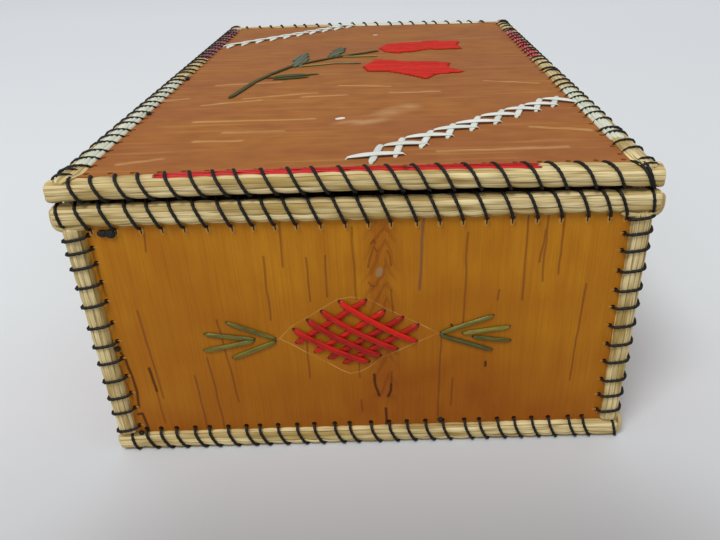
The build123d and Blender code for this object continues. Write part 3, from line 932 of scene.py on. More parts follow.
# %% Rings round the bundles' ends
end_rings = {
    ("rim", "front"): (-83.0, 82.9),
    ("lid", "front"): (-77.0, 81.2),
    ("base", "front"): (-78.9, 83.0),
    ("lid", "left"): (-129.0, -125.2, 125.2, 129.0),
    ("lid", "right"): (-129.0, -125.2, 125.2, 129.0),
}
ring_lean = {"rim": 0.2, "lid": 0.5, "base": 0.35}


def ring_points(level, place, lay):
    """One turn round a bundle near its end, where there is no bark. It starts and ends inboard."""
    half = thread_line * 0.5
    lean = ring_lean[level] * pitches[level]
    turn = (
        (half, -thread_line, -lean * 0.2),
        (thread_line, -half, -lean * 0.5),
        (thread_line, thread_line, -lean * 0.5),
        (-thread_line, thread_line, -lean * 0.35),
        (-thread_line, -thread_line, lean * 0.35),
        (0, -thread_line, lean * 0.5),
        (thread_line, -half, lean * 0.5),
    )
    return [lay(place + move, -inboard, up) for inboard, up, move in turn]


# %% Lashings of the rim, the lid and the base
lid_side_fine = 0.72
corner_sag = 0.9


def sag(piece):
    """Lowers a piece of the lid's front or back edge towards the corners, where the lid droops."""
    coords = points_of(piece) / MM
    coords[:, 2] -= corner_sag * (coords[:, 0] / side_line) ** 2
    move_points(piece, coords)


for (level, side), runs in rows.items():
    distance, height, reach = roll_line(level, side)
    threads = []
    fine = lid_side_fine if level == "lid" and (level, side) not in bowed else 1.0
    for i, places in enumerate(runs):
        points = edge_points(loops[level], places, pitches[level], side, distance, height)
        threads.append(laid_thread(f"{level}_{side}_{i}", points, lowest.get(level), fine))
    for place in end_rings.get((level, side), ()):
        points = ring_points(level, place, lay_edge(level, side))
        threads.append(laid_thread(f"{level}_{side}_end", points, lowest.get(level), fine))
    lashing = joined(f"{level}_lashing_{side}", threads, thread_finish)
    if (level, side) in bowed:
        sag(lashing)
    hand_over(lashing, bodies[level], "waxed_thread", f"{level}_thread_{side}")
print("a lashing has", len(lashing.data.polygons), "faces")

# %% Lashings of the four corners
corners = {"front_left": "front", "front_right": "right", "back_right": "back", "back_left": "left"}
corner_row_shares = {
    "front_left": (0.045, 0.143, 0.222, 0.310, 0.401, 0.484, 0.574, 0.672, 0.757, 0.839, 0.903, 0.957),
    "front_right": (0.058, 0.141, 0.223, 0.317, 0.404, 0.493, 0.580, 0.659, 0.745, 0.832, 0.903, 0.965),
}
corner_stitches = 12
corner_rise = 0.4 * corner_pitch


def corner_places(corner):
    """Heights at which the loops of one corner start."""
    if corner in corner_row_shares:
        heights = [front_place((0, share))[1] for share in corner_row_shares[corner]]
        return [h - corner_rise if corners[corner] == "front" else h for h in heights]
    middle = front_place((0, 0.5))[1]
    first = middle - ((corner_stitches - 1) * corner_pitch + corner_rise) / 2
    return [first + i * corner_pitch for i in range(corner_stitches)]


for corner, side in corners.items():
    distance = roll_line("rim", side)[0]
    run = run_out[side]
    points = []
    for place in corner_places(corner):
        for right, left, share in corner_loop:
            points.append(on_side(side, right - run, distance - left, place + share * corner_pitch))
    lashing = joined(f"corner_lashing_{corner}", [laid_thread(corner, points)], thread_finish)
    hand_over(lashing, "box", "waxed_thread", f"corner_thread_{corner}")

# %% [markdown]
# The three hinge ties wind round the lid's bundle and the rim's in figures of eight. They cross in
# the outer valley between the two, which is the line that the lid turns on.

# %% Hinge ties
lid_distance, lid_height = roll_line("lid", "right")[:2]
rim_height = roll_line("rim", "right")[1]
valley = (lid_height + rim_height) / 2
over_rim = rim_height + thread_line
under_lid = lid_height - thread_line
tie_loop = (
    (lid_hole, lid_height - 0.57 * thread_line, 0),
    (lid_hole, lid_height + 0.9 * thread_line, 0),
    (-thread_line, lid_height + thread_line, 0.1),
    (-thread_line, over_rim, 0.2),
    (thread_line, over_rim, 0.3),
    (thread_line, rim_height - side_drop, 0.35),
    (inner_mouth, rim_height - wall_hole, 0.4),
    (-wall_mouth, rim_height - wall_hole, 0.4),
    (-thread_line, rim_height - side_drop, 0.45),
    (-thread_line, under_lid, 0.6),
    (lid_tuck, under_lid, 0.85),
)
ties = []
for i, tie in enumerate(tie_places):
    turns = [tie + turn * tie_pitch for turn in range(tie_turns)]
    points = edge_points(tie_loop, turns, tie_pitch, "right", lid_distance, 0)
    ties.append(laid_thread(f"tie_{i}", points))
hinge_lashing = joined("hinge_tie_lashing", ties, thread_finish)
blend_half = 0.6
hinge_out = lid_distance + thread_line
start = (hinge_out * MM, 0, (valley - blend_half) * MM)
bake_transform(hinge_lashing)
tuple(start)
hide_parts("hinge_ties")
bpy.data.objects.remove(thread_turn)

# %% [markdown]
# ## Sweetgrass bundles
# A bundle is a dozen or so flattened stems. Each starts as a plain cylinder that is cut across
# every millimetre or so, and its points are then moved by a rule, as a sculptor would: the bundle
# fills its thread loops like a foot in a sock, swells between stitches, has grooves between the
# stems, and wanders slowly so that no stem runs dead straight. A rule moves the points because a
# bundle needs hundreds of small uneven moves, which no modifier gives.

# %% The space inside a loop
squeeze = 0.5


def loop_spots(loop, corner):
    """The corners of a loop seen along its bundle: outboard and up, or right and out."""
    if corner:
        return np.array([(right, -left) for right, left, share in loop])
    return np.array([(-inboard, up) for inboard, up, share in loop])


def thread_profile(loop, corner=False):
    """Angles round a bundle, and how far out the smooth thread runs there."""
    spots = loop_spots(loop, corner)
    t = np.linspace(0, 1, 12)[:, None]
    before, after = np.roll(spots, 1, 0), np.roll(spots, -1, 0)
    parts = [
        ((1 - t) ** 2 * a + (1 + 2 * t - 2 * t * t) * b + t * t * c) / 2
        for a, b, c in zip(before, spots, after)
    ]
    path = np.concatenate(parts)
    angle = np.arctan2(path[:, 1], path[:, 0])
    order = np.argsort(angle)
    return angle[order], np.hypot(path[order, 0], path[order, 1])


def share_at(loop, angle, corner=False):
    """The share of the stitch space that a loop has moved along at each angle round its bundle."""
    spots = loop_spots(loop, corner)
    spots = sorted(zip(np.arctan2(spots[:, 1], spots[:, 0]), (corner[2] for corner in loop)))
    return np.interp(angle, [spot[0] for spot in spots], [spot[1] for spot in spots])


print("thread runs", [round(v.min(), 2) for v in (thread_profile(rim_loop)[1],)], "mm out at least")

# %% Shaping a bundle
facets = 5
slice_run = 1.25
swell = 0.2
groove_depth = 0.3
waist_reach = 1.3
most_waist = {"rim": 3.25, "lid": 3.35, "base": 3.2, "corner": 3.2}
end_flare = {
    ("rim", "front"): 0.11,
    ("lid", "front"): 0.17,
    ("rim", "back"): 0.06,
    ("lid", "back"): 0.12,
}
flare_run = 7.0
end_dome = 1.3
shelf = 1.7
shelf_angle, shelf_spread = 150, 14
droop = {"rim": 0.3, "lid": 0.0, "base": 0.3, "corner": 0.0}
most_cuts = 100
wave_runs = (16, 40)
stem_rise = 0.1
groove_least, groove_sway = 0.7, 0.5
stem_tilt = 0.16
slow_turns = ((0.07, 43), (0.04, 17))


def widest(kind, angle):
    """How far out a bundle may fill its loops. The lid's bundles also swell over the bark."""
    cap = np.full_like(np.asarray(angle, float), most_waist[kind])
    if kind == "lid":
        cap = cap + shelf * np.exp(-(((angle - radians(shelf_angle)) / radians(shelf_spread)) ** 2))
    return cap


def cut_across(piece, least_run, cuts):
    """Selects the edges that run along Z, which are longer than the least run, and cuts them."""
    bpy.ops.object.mode_set(mode="EDIT")
    bpy.ops.mesh.select_mode(type="EDGE")
    bpy.ops.mesh.select_all(action="DESELECT")
    bpy.ops.object.mode_set(mode="OBJECT")
    heights = points_of(piece)[:, 2]
    for edge in piece.data.edges:
        a, b = edge.vertices
        edge.select = bool(abs(heights[a] - heights[b]) > least_run)
    bpy.ops.object.mode_set(mode="EDIT")
    bpy.ops.mesh.subdivide(number_cuts=cuts)
    bpy.ops.object.mode_set(mode="OBJECT")


def bundle_blank(name, length):
    """A cylinder along Z, cut across every slice_run, with its ends filled."""
    deselect()
    bpy.ops.mesh.primitive_cylinder_add(
        vertices=stems_round * facets, radius=MM, depth=length * MM, end_fill_type="NGON"
    )
    piece = bpy.context.object
    piece.name = name
    cut_across(piece, 0.1 * MM, 1)
    cut_across(piece, 0.1 * MM, min(ceil(length / slice_run / 2), most_cuts))
    return piece


def unwrap_round(piece, length):
    """Writes the UV map: along in millimetres, round from 0 to 1 with its seam inboard."""
    mesh = piece.data
    coords = points_of(piece)
    rounds = np.arctan2(coords[:, 1], coords[:, 0]) / (2 * pi) + 0.5
    values = np.zeros((len(mesh.loops), 2))
    for face in mesh.polygons:
        corners_here = list(face.loop_indices)
        spots = rounds[[mesh.loops[i].vertex_index for i in corners_here]]
        if spots.max() - spots.min() > 0.5:
            spots = np.where(spots < 0.5, spots + 1, spots)
        values[corners_here, 1] = spots
    index = np.zeros(len(mesh.loops), int)
    mesh.loops.foreach_get("vertex_index", index)
    values[:, 0] = coords[index, 2] / MM + length / 2
    mesh.uv_layers.active.data.foreach_set("uv", values.ravel())
    return coords


def shape_bundle(piece, length, kind, loop, stitches, lay, pressed=None, flare=0.0, shrink=0.88):
    """Moves the blank's points to a grooved bundle that fills its loops, and lays it in place.

    It is pinched at its stitches, pressed in under quills, and flared and domed at its ends.
    """
    coords = unwrap_round(piece, length)
    along = coords[:, 2] / MM
    angle = np.arctan2(coords[:, 1], coords[:, 0])
    near = np.abs(along[:, None] - stitches(angle)).min(axis=1)
    free = 1 - np.exp(-((near / waist_reach) ** 2))
    spots, reach = thread_profile(loop, kind == "corner")
    waist = np.minimum(np.interp(angle, spots, reach, period=2 * pi) - squeeze, widest(kind, angle))
    phase = (angle / (2 * pi) + 0.5) * stems_round
    stem = np.floor(phase).astype(int) % stems_round
    within = phase - np.floor(phase)
    groove = 1 - np.abs(np.sin(pi * phase))
    waves = draw.uniform(*wave_runs, stems_round)
    starts = draw.uniform(0, 2 * pi, stems_round)
    own = stem_rise * np.sin(along / waves[stem] * 2 * pi + starts[stem])
    deep = np.sin(along / waves[stem - 1] * 2 * pi + starts[stem - 1] * 2)
    deep = groove_least + groove_sway * deep
    tilt = stem_tilt * np.sin(starts[stem] * 3) * (within - 0.5)
    low = np.clip(-np.sin(angle), 0, 1) * np.clip(np.cos(angle) + 0.6, 0, 1)
    loose = 0.5 * swell if kind == "corner" else swell
    radius = waist + (loose + own + tilt + droop[kind] * low) * free
    radius = radius - groove_depth * deep * groove**3
    if pressed:
        radius = radius - pressed(along, angle)
    slow = sum(turn * np.sin(along / run + start) for (turn, run), start in zip(slow_turns, starts))
    past = np.clip((np.abs(along) - (length / 2 - end_dome)) / end_dome, 0, 1)
    opened = np.clip((np.abs(along) - (length / 2 - flare_run)) / flare_run, 0, 1)
    radius = radius * np.sqrt(1 - (shrink * past) ** 2) * (1 + flare * opened**2)
    move_points(piece, lay(along, radius * np.cos(angle + slow), radius * np.sin(angle + slow)))


def two_finishes(piece, sides_finish, ends_finish):
    """The faces with many sides, which close an opening or an end, get a finish of their own."""
    piece.data.materials.clear()
    piece.data.materials.append(sides_finish)
    piece.data.materials.append(ends_finish)
    for face in piece.data.polygons:
        face.material_index = 1 if len(face.vertices) > 4 else 0


def finish_bundle(piece, body, material, *nodes):
    """Gives stems and cut ends their finishes, shades the stems smooth and hands the piece over."""
    two_finishes(piece, material, cut_finish)
    make_active(piece)
    bpy.ops.object.shade_smooth_by_angle(angle=radians(50))
    hand_over(piece, body, "sweetgrass", *nodes)


# %% [markdown]
# Coloured quills lie along the lid's bundle under its lashing. They cover the side that faces the
# lid, from the top of the bundle down to the bark, and press the grass flat there. The table gives
# each coloured run as shares of its side.

# %% Where the edging quills lie
panel_start = 2.85
edging_table = {
    "front_edging_red": ("front", -0.356, 0.327, edging_red, "red_quill"),
    "left_edging_white": ("left", 0.053, 0.467, pale_edging, "white_quill"),
    "left_edging_maroon": ("left", -0.475, -0.139, maroon_quill, "maroon_quill"),
    "right_edging_white": ("right", -0.419, -0.159, pale_edging, "white_quill"),
    "right_edging_red": ("right", 0.076, 0.358, red_quill, "red_quill"),
    "back_edging_white": ("back", -0.423, 0.150, pale_edging, "white_quill"),
}
edging_angles = {
    "front": (156, 143, 129, 114, 99),
    "left": (154, 138, 118, 97),
    "right": (154, 138, 118, 97),
    "back": (154, 138, 118),
}
press_depth = 0.5
press_margin = 14


def edging_span(node):
    side, low_share, high_share = edging_table[node][:3]
    reach = run_out[side] - panel_start
    return side, low_share * 2 * reach, high_share * 2 * reach


def pressed_by_edging(side):
    """How deep the grass of one side is pressed by the quills that lie on it."""
    spans = [edging_span(node)[1:] for node in edging_table if edging_table[node][0] == side]
    lowest_angle = radians(min(edging_angles[side]) - press_margin)

    def depth(along, angle):
        within = np.zeros(len(along))
        for low, high in spans:
            inside = np.clip((along - low + 1) / 2, 0, 1) * np.clip((high + 1 - along) / 2, 0, 1)
            within = np.maximum(within, inside)
        return press_depth * within * (angle > lowest_angle)

    return depth


# %% The bundles along the edges
end_room = 0.7
plain_shrink, flared_shrink = 0.88, 0.5

for (level, side), runs in rows.items():
    loop, pitch = loops[level], pitches[level]
    places = [place for run in runs for place in run]
    places = np.array([*places, *end_rings.get((level, side), ())])
    extra = end_room if side in ("front", "back") else over_corner if level == "lid" else 0
    length = 2 * (roll_line(level, side)[2] + extra)
    bundle = bundle_blank(f"{level}_sweetgrass_{side}", length)
    shape_bundle(
        bundle,
        length,
        level,
        loop,
        lambda angle: places[None, :] + (share_at(loop, angle) * pitch)[:, None],
        lay_edge(level, side),
        pressed_by_edging(side) if level == "lid" else None,
        end_flare.get((level, side), 0.0),
        flared_shrink if (level, side) in end_flare else plain_shrink,
    )
    if (level, side) in bowed:
        sag(bundle)
    if level == "base":
        for vertex in bundle.data.vertices:
            vertex.co.z = max(vertex.co.z, 0)
    finish_bundle(bundle, bodies[level], grass_finish, f"{level}_grass_{side}")
print("a long bundle has", len(bundle.data.polygons), "faces")

# %% The bundles at the corners
for corner, side in corners.items():
    low, high = node_box(f"corner_grass_{corner}")
    length = high[2] - low[2]
    middle = (low + high) / 2
    distance = roll_line("rim", side)[0]
    places = np.array(corner_places(corner)) - middle[2]
    bundle = bundle_blank(f"corner_sweetgrass_{corner}", length)
    shape_bundle(
        bundle,
        length,
        "corner",
        corner_loop,
        lambda angle: places[None, :] + share_at(corner_loop, angle, True)[:, None] * corner_pitch,
        lambda along, right, out: on_side(
            side, right - run_out[side], distance + out, middle[2] + along
        ),
    )
    finish_bundle(bundle, "box", post_finish, f"corner_grass_{corner}")

# %% [markdown]
# At three of the front's corners a strand of a few stems leaves its bundle and curls round the
# ends, which ties the corner together. Its route is read off the photograph, across and up.

# %% Strands that curl round the corners
strand_share = 0.27
strand_out = 131.6
strand_routes = {
    "rim_strand_right": (
        (74.5, 82.5), (78.5, 82.0), (82.8, 81.7), (85.4, 82.8), (85.7, 85.6), (85.3, 88.2),
    ),
    "rim_strand_left": (
        (-84.6, 88.4), (-85.1, 85.5), (-85.0, 83.0), (-83.4, 82.0), (-80.0, 82.2), (-76.5, 82.7),
    ),
    "base_strand_right": ((83.0, 10.5), (84.6, 8.0), (85.2, 4.8), (84.6, 1.9), (82.4, 1.0)),
}


def rounded(places, times=3):
    """Cuts the corners of a route a few times, which rounds it."""
    places = np.array(places, float)
    for _ in range(times):
        early = 0.75 * places[:-1] + 0.25 * places[1:]
        late = 0.25 * places[:-1] + 0.75 * places[1:]
        cut = np.stack([early, late], 1).reshape(-1, 2)
        places = np.concatenate([places[:1], cut, places[-1:]])
    return places


def lay_strand(route):
    """A rule that lays places along a route in front of the box, and the route's length."""
    places = rounded(route)
    steps_here = np.diff(places, axis=0)
    far = np.concatenate([[0], np.cumsum(np.hypot(*steps_here.T))])
    course = np.unwrap(np.arctan2(steps_here[:, 1], steps_here[:, 0]))

    def lay(along, out, up):
        reached = along + far[-1] / 2
        across = np.interp(reached, far, places[:, 0])
        height = np.interp(reached, far, places[:, 1])
        heading = np.interp(reached, (far[:-1] + far[1:]) / 2, course)
        across = across - strand_share * up * np.sin(heading)
        height = height + strand_share * up * np.cos(heading)
        return np.stack([across, -strand_out - strand_share * out, height], axis=-1)

    return lay, far[-1]


for name, route in strand_routes.items():
    lay, length = lay_strand(route)
    strand = bundle_blank(name, length)
    shape_bundle(
        strand,
        length,
        "corner",
        corner_loop,
        lambda angle: np.full((len(angle), 1), 10 * length),
        lay,
    )
    finish_bundle(strand, "box", grass_finish)
print("strands at", list(strand_routes))

# %% [markdown]
# ## Quills
# Every quill is a copy of one blank, a ten-sided rod cut into short lengths. It is laid between two
# places on a surface: pinched and sunk into its hole at both ends, flattened in the middle, and
# lifted where it passes over another quill.

# %% A quill
quill_sides = 10
quill_slices = 15
quill_width = 1.95
quill_thickness = 0.9
quill_ramp = 1.1
tip_width, tip_thickness = 0.25, 0.4
hump_fullness = 0.6
quill_number = iter(range(100000))


def quill_blank():
    """A rod of unit length and width along Z, from the origin."""
    deselect()
    bpy.ops.mesh.primitive_cylinder_add(vertices=quill_sides, radius=0.5, depth=1, location=(0, 0, 0.5))
    piece = bpy.context.object
    bpy.ops.object.transform_apply(location=True, rotation=True, scale=True)
    piece.name = "quill_blank"
    cut_across(piece, 0.5, quill_slices)
    return piece


blank = quill_blank()
blank_points = points_of(blank)
blank_index = np.zeros(len(blank.data.loops), int)
blank.data.loops.foreach_get("vertex_index", blank_index)
blank_wave = np.cos(pi * blank_points[:, 2])
blank_t = 0.5 - 0.5 * blank_wave * (0.35 + 0.65 * np.abs(blank_wave))
blank_round = np.arctan2(blank_points[:, 1], blank_points[:, 0]) / (2 * pi) + 0.5
front_y = front_low[1]
lid_top = lid_high[2]
lid_face = [np.array(v, float) for v in ((0, 0, lid_top), (1, 0, 0), (0, 1, 0), (0, 0, 1))]


def face_at(side, out, up, degrees_up=0.0):
    """A face beside one side: its origin, and its right, upward and outward directions."""
    tilt = radians(degrees_up)
    right, outward = on_side(side, 1.0, 0.0, 0.0), on_side(side, 0.0, cos(tilt), sin(tilt))
    return [on_side(side, 0.0, out, up), right, np.cross(outward, right), outward]


front_face = face_at("front", -front_y, 0.0)


def quill(
    face, start, end, lift=0.0, width=quill_width, taper=2.4, sink=0.4, bow=0.0, thick=quill_thickness
):
    """A quill between two places of a face, lifted in its middle and bowed to one side."""
    origin, right, up, out = face
    piece = copy_of(blank)
    length = hypot(end[0] - start[0], end[1] - start[1])
    along = (right * (end[0] - start[0]) + up * (end[1] - start[1])) / length
    aside = np.cross(out, along)
    t = blank_t
    ends = np.minimum(t, 1 - t) * length
    full = np.clip(ends / min(taper, length / 3), 0, 1)
    pinch = tip_width + (1 - tip_width) * np.sin(full * pi / 2)
    flat = thick * (tip_thickness + (1 - tip_thickness) * full)
    rise = np.clip(ends / quill_ramp, 0, 1)
    rise = rise * rise * (3 - 2 * rise)
    hump = np.sin(pi * np.clip(t, 0, 1)) ** hump_fullness
    middle = thick / 2 * rise - sink * (1 - rise) + lift * hump
    sway = bow * np.sin(pi * t)
    place = (
        origin
        + right * start[0]
        + up * start[1]
        + along * (t * length)[:, None]
        + aside * (blank_points[:, 1] * width * pinch + sway)[:, None]
        + out * (blank_points[:, 0] * flat + middle)[:, None]
    )
    uv = np.stack([ends, blank_round + next(quill_number)], axis=-1)[blank_index]
    piece.data.uv_layers.active.data.foreach_set("uv", uv.ravel())
    move_points(piece, place)
    return piece


def quill_group(name, pieces, material, slot, body, *nodes):
    group = joined(name, pieces, material)
    hand_over(group, body, slot, *nodes)
    return group


# %% The lattice and the sprigs on the front
over_shares = (
    ((-0.048, 0.648), (0.108, 0.439)),
    ((-0.084, 0.604), (0.069, 0.404)),
    ((-0.113, 0.565), (0.035, 0.374)),
    ((-0.142, 0.523), (0.011, 0.345)),
)
under_shares = (
    ((-0.140, 0.446), (0.011, 0.651)),
    ((-0.105, 0.398), (0.046, 0.598)),
    ((-0.078, 0.366), (0.082, 0.566)),
    ((-0.048, 0.340), (0.112, 0.528)),
)
left_sprig_shares = (
    ((-0.213, 0.476), (-0.320, 0.509)),
    ((-0.215, 0.471), (-0.327, 0.425)),
    ((-0.172, 0.473), (-0.273, 0.564)),
    ((-0.172, 0.467), (-0.272, 0.383)),
)
right_sprig_shares = (
    ((0.191, 0.476), (0.295, 0.505)),
    ((0.212, 0.460), (0.298, 0.434)),
    ((0.148, 0.480), (0.261, 0.562)),
    ((0.148, 0.475), (0.262, 0.388)),
)


def front_quills(table_shares, **how):
    return [quill(front_face, front_place(a), front_place(b), **how) for a, b in table_shares]


falling_shape = {"lift": 0.95, "width": 2.1, "bow": -0.5}
sprig_shape = {"width": 1.6, "taper": 3.5, "sink": 0.5}
for name, table_shares, material, slot, shape in (
    ("lattice_rising", under_shares, red_quill, "red_quill", {}),
    ("lattice_falling", over_shares, red_quill, "red_quill", falling_shape),
    ("left_sprig", left_sprig_shares, olive_quill, "green_quill", sprig_shape),
    ("right_sprig", right_sprig_shares, olive_quill, "green_quill", sprig_shape),
):
    quill_group(name, front_quills(table_shares, **shape), material, slot, "box", name + "_quills")

# %% [markdown]
# The two red blooms, and the leaf buds, are filled with quills laid side by side. Rows are drawn
# across the outline of each, and a quill is laid wherever a row is inside it.

# %% Blooms on the lid
upper_bloom_shares = (
    (0.034, 0.700), (0.062, 0.745), (0.220, 0.765), (0.315, 0.757), (0.299, 0.721),
    (0.309, 0.674), (0.194, 0.677), (0.155, 0.659), (0.092, 0.647), (0.056, 0.662),
)
lower_bloom_shares = (
    (-0.012, 0.530), (0.025, 0.588), (0.089, 0.577), (0.133, 0.562), (0.253, 0.550), (0.240, 0.511),
    (0.283, 0.469), (0.199, 0.455), (0.168, 0.420), (0.105, 0.464), (0.059, 0.488), (0.003, 0.495),
)
bloom_pitch = 1.7
longest_in_bloom = 18.0
bloom_lap = 1.5


def filled(outline_shares, lean_degrees, pitch=bloom_pitch, thick=0.5):
    """Quills side by side inside an outline on the lid. A long row is made of two that overlap."""
    angle = radians(lean_degrees)
    c, s = cos(angle), sin(angle)
    outline = [lid_place(share) for share in outline_shares]
    turned = [(x * c + y * s, y * c - x * s) for x, y in outline]
    low = min(y for x, y in turned)
    high = max(y for x, y in turned)
    quills = []
    rows_here = int((high - low) / pitch)
    for i in range(rows_here):
        row = low + (i + 0.5) * (high - low) / rows_here
        cuts = []
        for (x0, y0), (x1, y1) in zip(turned, turned[1:] + turned[:1]):
            if (y0 > row) != (y1 > row):
                cuts.append(x0 + (x1 - x0) * (row - y0) / (y1 - y0))
        cuts.sort()
        for x0, x1 in zip(cuts[::2], cuts[1::2]):
            if x1 - x0 > pitch:
                joint = x0 + (x1 - x0) * (0.45 + 0.2 * (i % 3 - 1))
                spans = ((x0, joint + bloom_lap), (joint - bloom_lap, x1))
                for a, b in spans if x1 - x0 > longest_in_bloom else ((x0, x1),):
                    ends = [(x * c - row * s, x * s + row * c) for x in (a, b)]
                    shape = {"width": pitch * 1.25, "sink": 0.1, "taper": 2.5, "thick": thick}
                    quills.append(quill(lid_face, *ends, lift=0.08 * (i % 2), **shape))
    return quills


bloom_quills = filled(upper_bloom_shares, 4.0) + filled(lower_bloom_shares, -5.0)
print(len(bloom_quills), "quills in the blooms")
quill_group("red_blooms", bloom_quills, bloom_quill, "red_quill", "lid", "red_bloom_quills")

# %% Stem, branches and leaves
stem_shares = chain(
    (-0.327, 0.333), (-0.295, 0.429), (-0.265, 0.482), (-0.213, 0.552), (-0.166, 0.580),
    (-0.097, 0.618), (-0.007, 0.655), (0.032, 0.673),
)
low_branch_shares = chain((-0.192, 0.543), (-0.092, 0.563), (-0.017, 0.561))
middle_branch_shares = (((-0.073, 0.624), (0.032, 0.620)),)
long_leaf_shares = (
    ((-0.271, 0.456), (-0.126, 0.481)),
    ((-0.250, 0.445), (-0.151, 0.459)),
    ((-0.252, 0.468), (-0.162, 0.482)),
)
low_bud_shares = (
    (-0.212, 0.535), (-0.220, 0.600), (-0.212, 0.645),
    (-0.188, 0.672), (-0.176, 0.625), (-0.188, 0.545),
)
high_bud_shares = (
    (-0.122, 0.612), (-0.112, 0.672), (-0.090, 0.712),
    (-0.070, 0.722), (-0.070, 0.675), (-0.088, 0.628),
)
bud_pitch, bud_thickness = 1.5, 0.7


def lid_quills(table_shares, overlap=0.0, **how):
    """Quills on the lid, each end carried on by an overlap in millimetres."""
    pieces = []
    for a, b in table_shares:
        a, b = (np.array(lid_place(share)) for share in (a, b))
        past = (b - a) / np.hypot(*(b - a)) * overlap
        pieces.append(quill(lid_face, a - past, b + past, **how))
    return pieces


stem = lid_quills(stem_shares, overlap=1.4, width=2.5, taper=2.5, sink=0.1, thick=0.7)
branches = lid_quills(low_branch_shares + middle_branch_shares, overlap=1.0, width=1.5, thick=0.6)
leaf = lid_quills(long_leaf_shares, width=2.8, taper=8.0, sink=0.1, thick=0.6)
buds = filled(low_bud_shares, 82.0, bud_pitch, bud_thickness)
buds += filled(high_bud_shares, 66.0, bud_pitch, bud_thickness)
for name, pieces, material in (
    ("stem", stem, stem_quill),
    ("branches", branches, olive_quill),
    ("long_leaf", leaf, leaf_quill),
    ("leaf_buds", buds, bud_quill),
):
    quill_group(name, pieces, material, "green_quill", "lid", "stem_quills")

# %% [markdown]
# Each white band is a chain of crossed quills: short ones laid first, and long ones with fine
# points bridging from the head of one short quill past the foot of the next.

# %% White bands on the lid


def steps(first, last, count):
    first, last = lid_place(first), lid_place(last)
    return [[f + (l - f) * i / (count - 1) for f, l in zip(first, last)] for i in range(count)]


def band(count, starts_shares, ends_shares, **how):
    pairs = zip(steps(*starts_shares, count), steps(*ends_shares, count))
    return [quill(lid_face, start, end, **how) for start, end in pairs]


near_cross_shares = (
    ((0.025, 0.015), (0.045, 0.085)),
    ((0.070, 0.035), (0.089, 0.110)),
    ((0.120, 0.066), (0.150, 0.137)),
    ((0.176, 0.101), (0.199, 0.164)),
    ((0.229, 0.129), (0.259, 0.196)),
    ((0.284, 0.155), (0.319, 0.226)),
    ((0.337, 0.183), (0.371, 0.249)),
    ((0.388, 0.209), (0.421, 0.279)),
    ((0.433, 0.231), (0.466, 0.290)),
)
near_long_shares = (
    ((-0.024, 0.035), (0.093, 0.046)),
    ((0.045, 0.076), (0.140, 0.080)),
    ((0.089, 0.105), (0.194, 0.111)),
    ((0.149, 0.134), (0.251, 0.142)),
    ((0.198, 0.160), (0.305, 0.165)),
    ((0.258, 0.192), (0.353, 0.194)),
    ((0.318, 0.222), (0.406, 0.216)),
    ((0.369, 0.244), (0.453, 0.239)),
    ((0.419, 0.274), (0.500, 0.250)),
)
cross_shape = {"width": 2.3, "taper": 3.5, "sink": 0.3, "thick": 0.7}
long_shape = {"width": 3.1, "lift": 0.5, "taper": 6.0, "sink": 0.3, "bow": 0.5, "thick": 0.7}
near = lid_quills(near_cross_shares, **cross_shape)
near += lid_quills(near_long_shares, **long_shape)
quill_group("near_white_band", near, white_quill, "white_quill", "lid", "near_band_quills")

far_crosses = 10
far_cross_starts_shares = ((-0.468, 0.745), (-0.085, 0.965))
far_cross_ends_shares = ((-0.452, 0.800), (-0.070, 0.992))
far_long_starts_shares = ((-0.488, 0.760), (-0.125, 0.990))
far_long_ends_shares = ((-0.410, 0.795), (-0.050, 0.988))
far_cross_shape, far_long_shape = {**cross_shape, "width": 3.2}, {**long_shape, "width": 2.6}
far = band(far_crosses, far_cross_starts_shares, far_cross_ends_shares, **far_cross_shape)
far += band(far_crosses, far_long_starts_shares, far_long_ends_shares, **far_long_shape)
quill_group("far_white_band", far, white_quill, "white_quill", "lid", "far_band_quills")

# %% Edging quills under the lid's lashing
edging_length = 30.0
edging_lap = 1.5
edging_shape = {"width": 1.75, "thick": 0.6, "sink": 0.0, "taper": 4.0}
spots, reaches = thread_profile(lid_loop)


def edging_frame(side, angle_degrees):
    """A line along the lid's bundle at one angle round it, with its outward direction."""
    distance, height = roll_line("lid", side)[:2]
    angle = radians(angle_degrees)
    reach = np.interp(angle, spots, reaches, period=2 * pi) - squeeze
    reach = min(reach, float(widest("lid", angle))) - press_depth
    return face_at(side, distance + reach * cos(angle), height + reach * sin(angle), angle_degrees)


for node, (side, low_share, high_share, material, slot) in edging_table.items():
    side, low, high = edging_span(node)
    pieces = []
    for k, angle_degrees in enumerate(edging_angles[side]):
        frame_here = edging_frame(side, angle_degrees)
        edges = [low]
        while edges[-1] < high - 0.5 * edging_length:
            edges.append(edges[-1] + edging_length * (0.55 + 0.45 * ((k + len(edges)) % 3) / 2))
        edges[-1] = high
        for a, b in zip(edges, edges[1:]):
            ends = (a - edging_lap, 0), (b + edging_lap, 0)
            pieces.append(quill(frame_here, *ends, **edging_shape))
    name = node.replace("edging", "edging_quills")
    group = quill_group(name, pieces, material, slot, "lid", node)
    if ("lid", side) in bowed:
        sag(group)
bpy.data.objects.remove(blank)

# %% [markdown]
# ## Torn slits and knots
# The awl tore a short slit below every hole of the rim, and a pale flap of bark stands up beside
# it. One slit is modelled from a ring of edges that is extruded inwards twice, first up to a crest
# and then down to the opening, a face painted near black as painted shade inside the slit, and is
# copied to every hole. A knot is a few rings of thread.

# %% A torn slit
slit_half = (0.75, 1.6)
crest_share = (0.5, 0.84)
opening_share = (0.24, 0.72)
slit_drop = 0.75
slit_lift = 0.02
opening_height = 0.04
flap_height = 0.3
flap_leans = (-0.2, 1.0)
flap_least, flap_sway = 0.65, 0.45


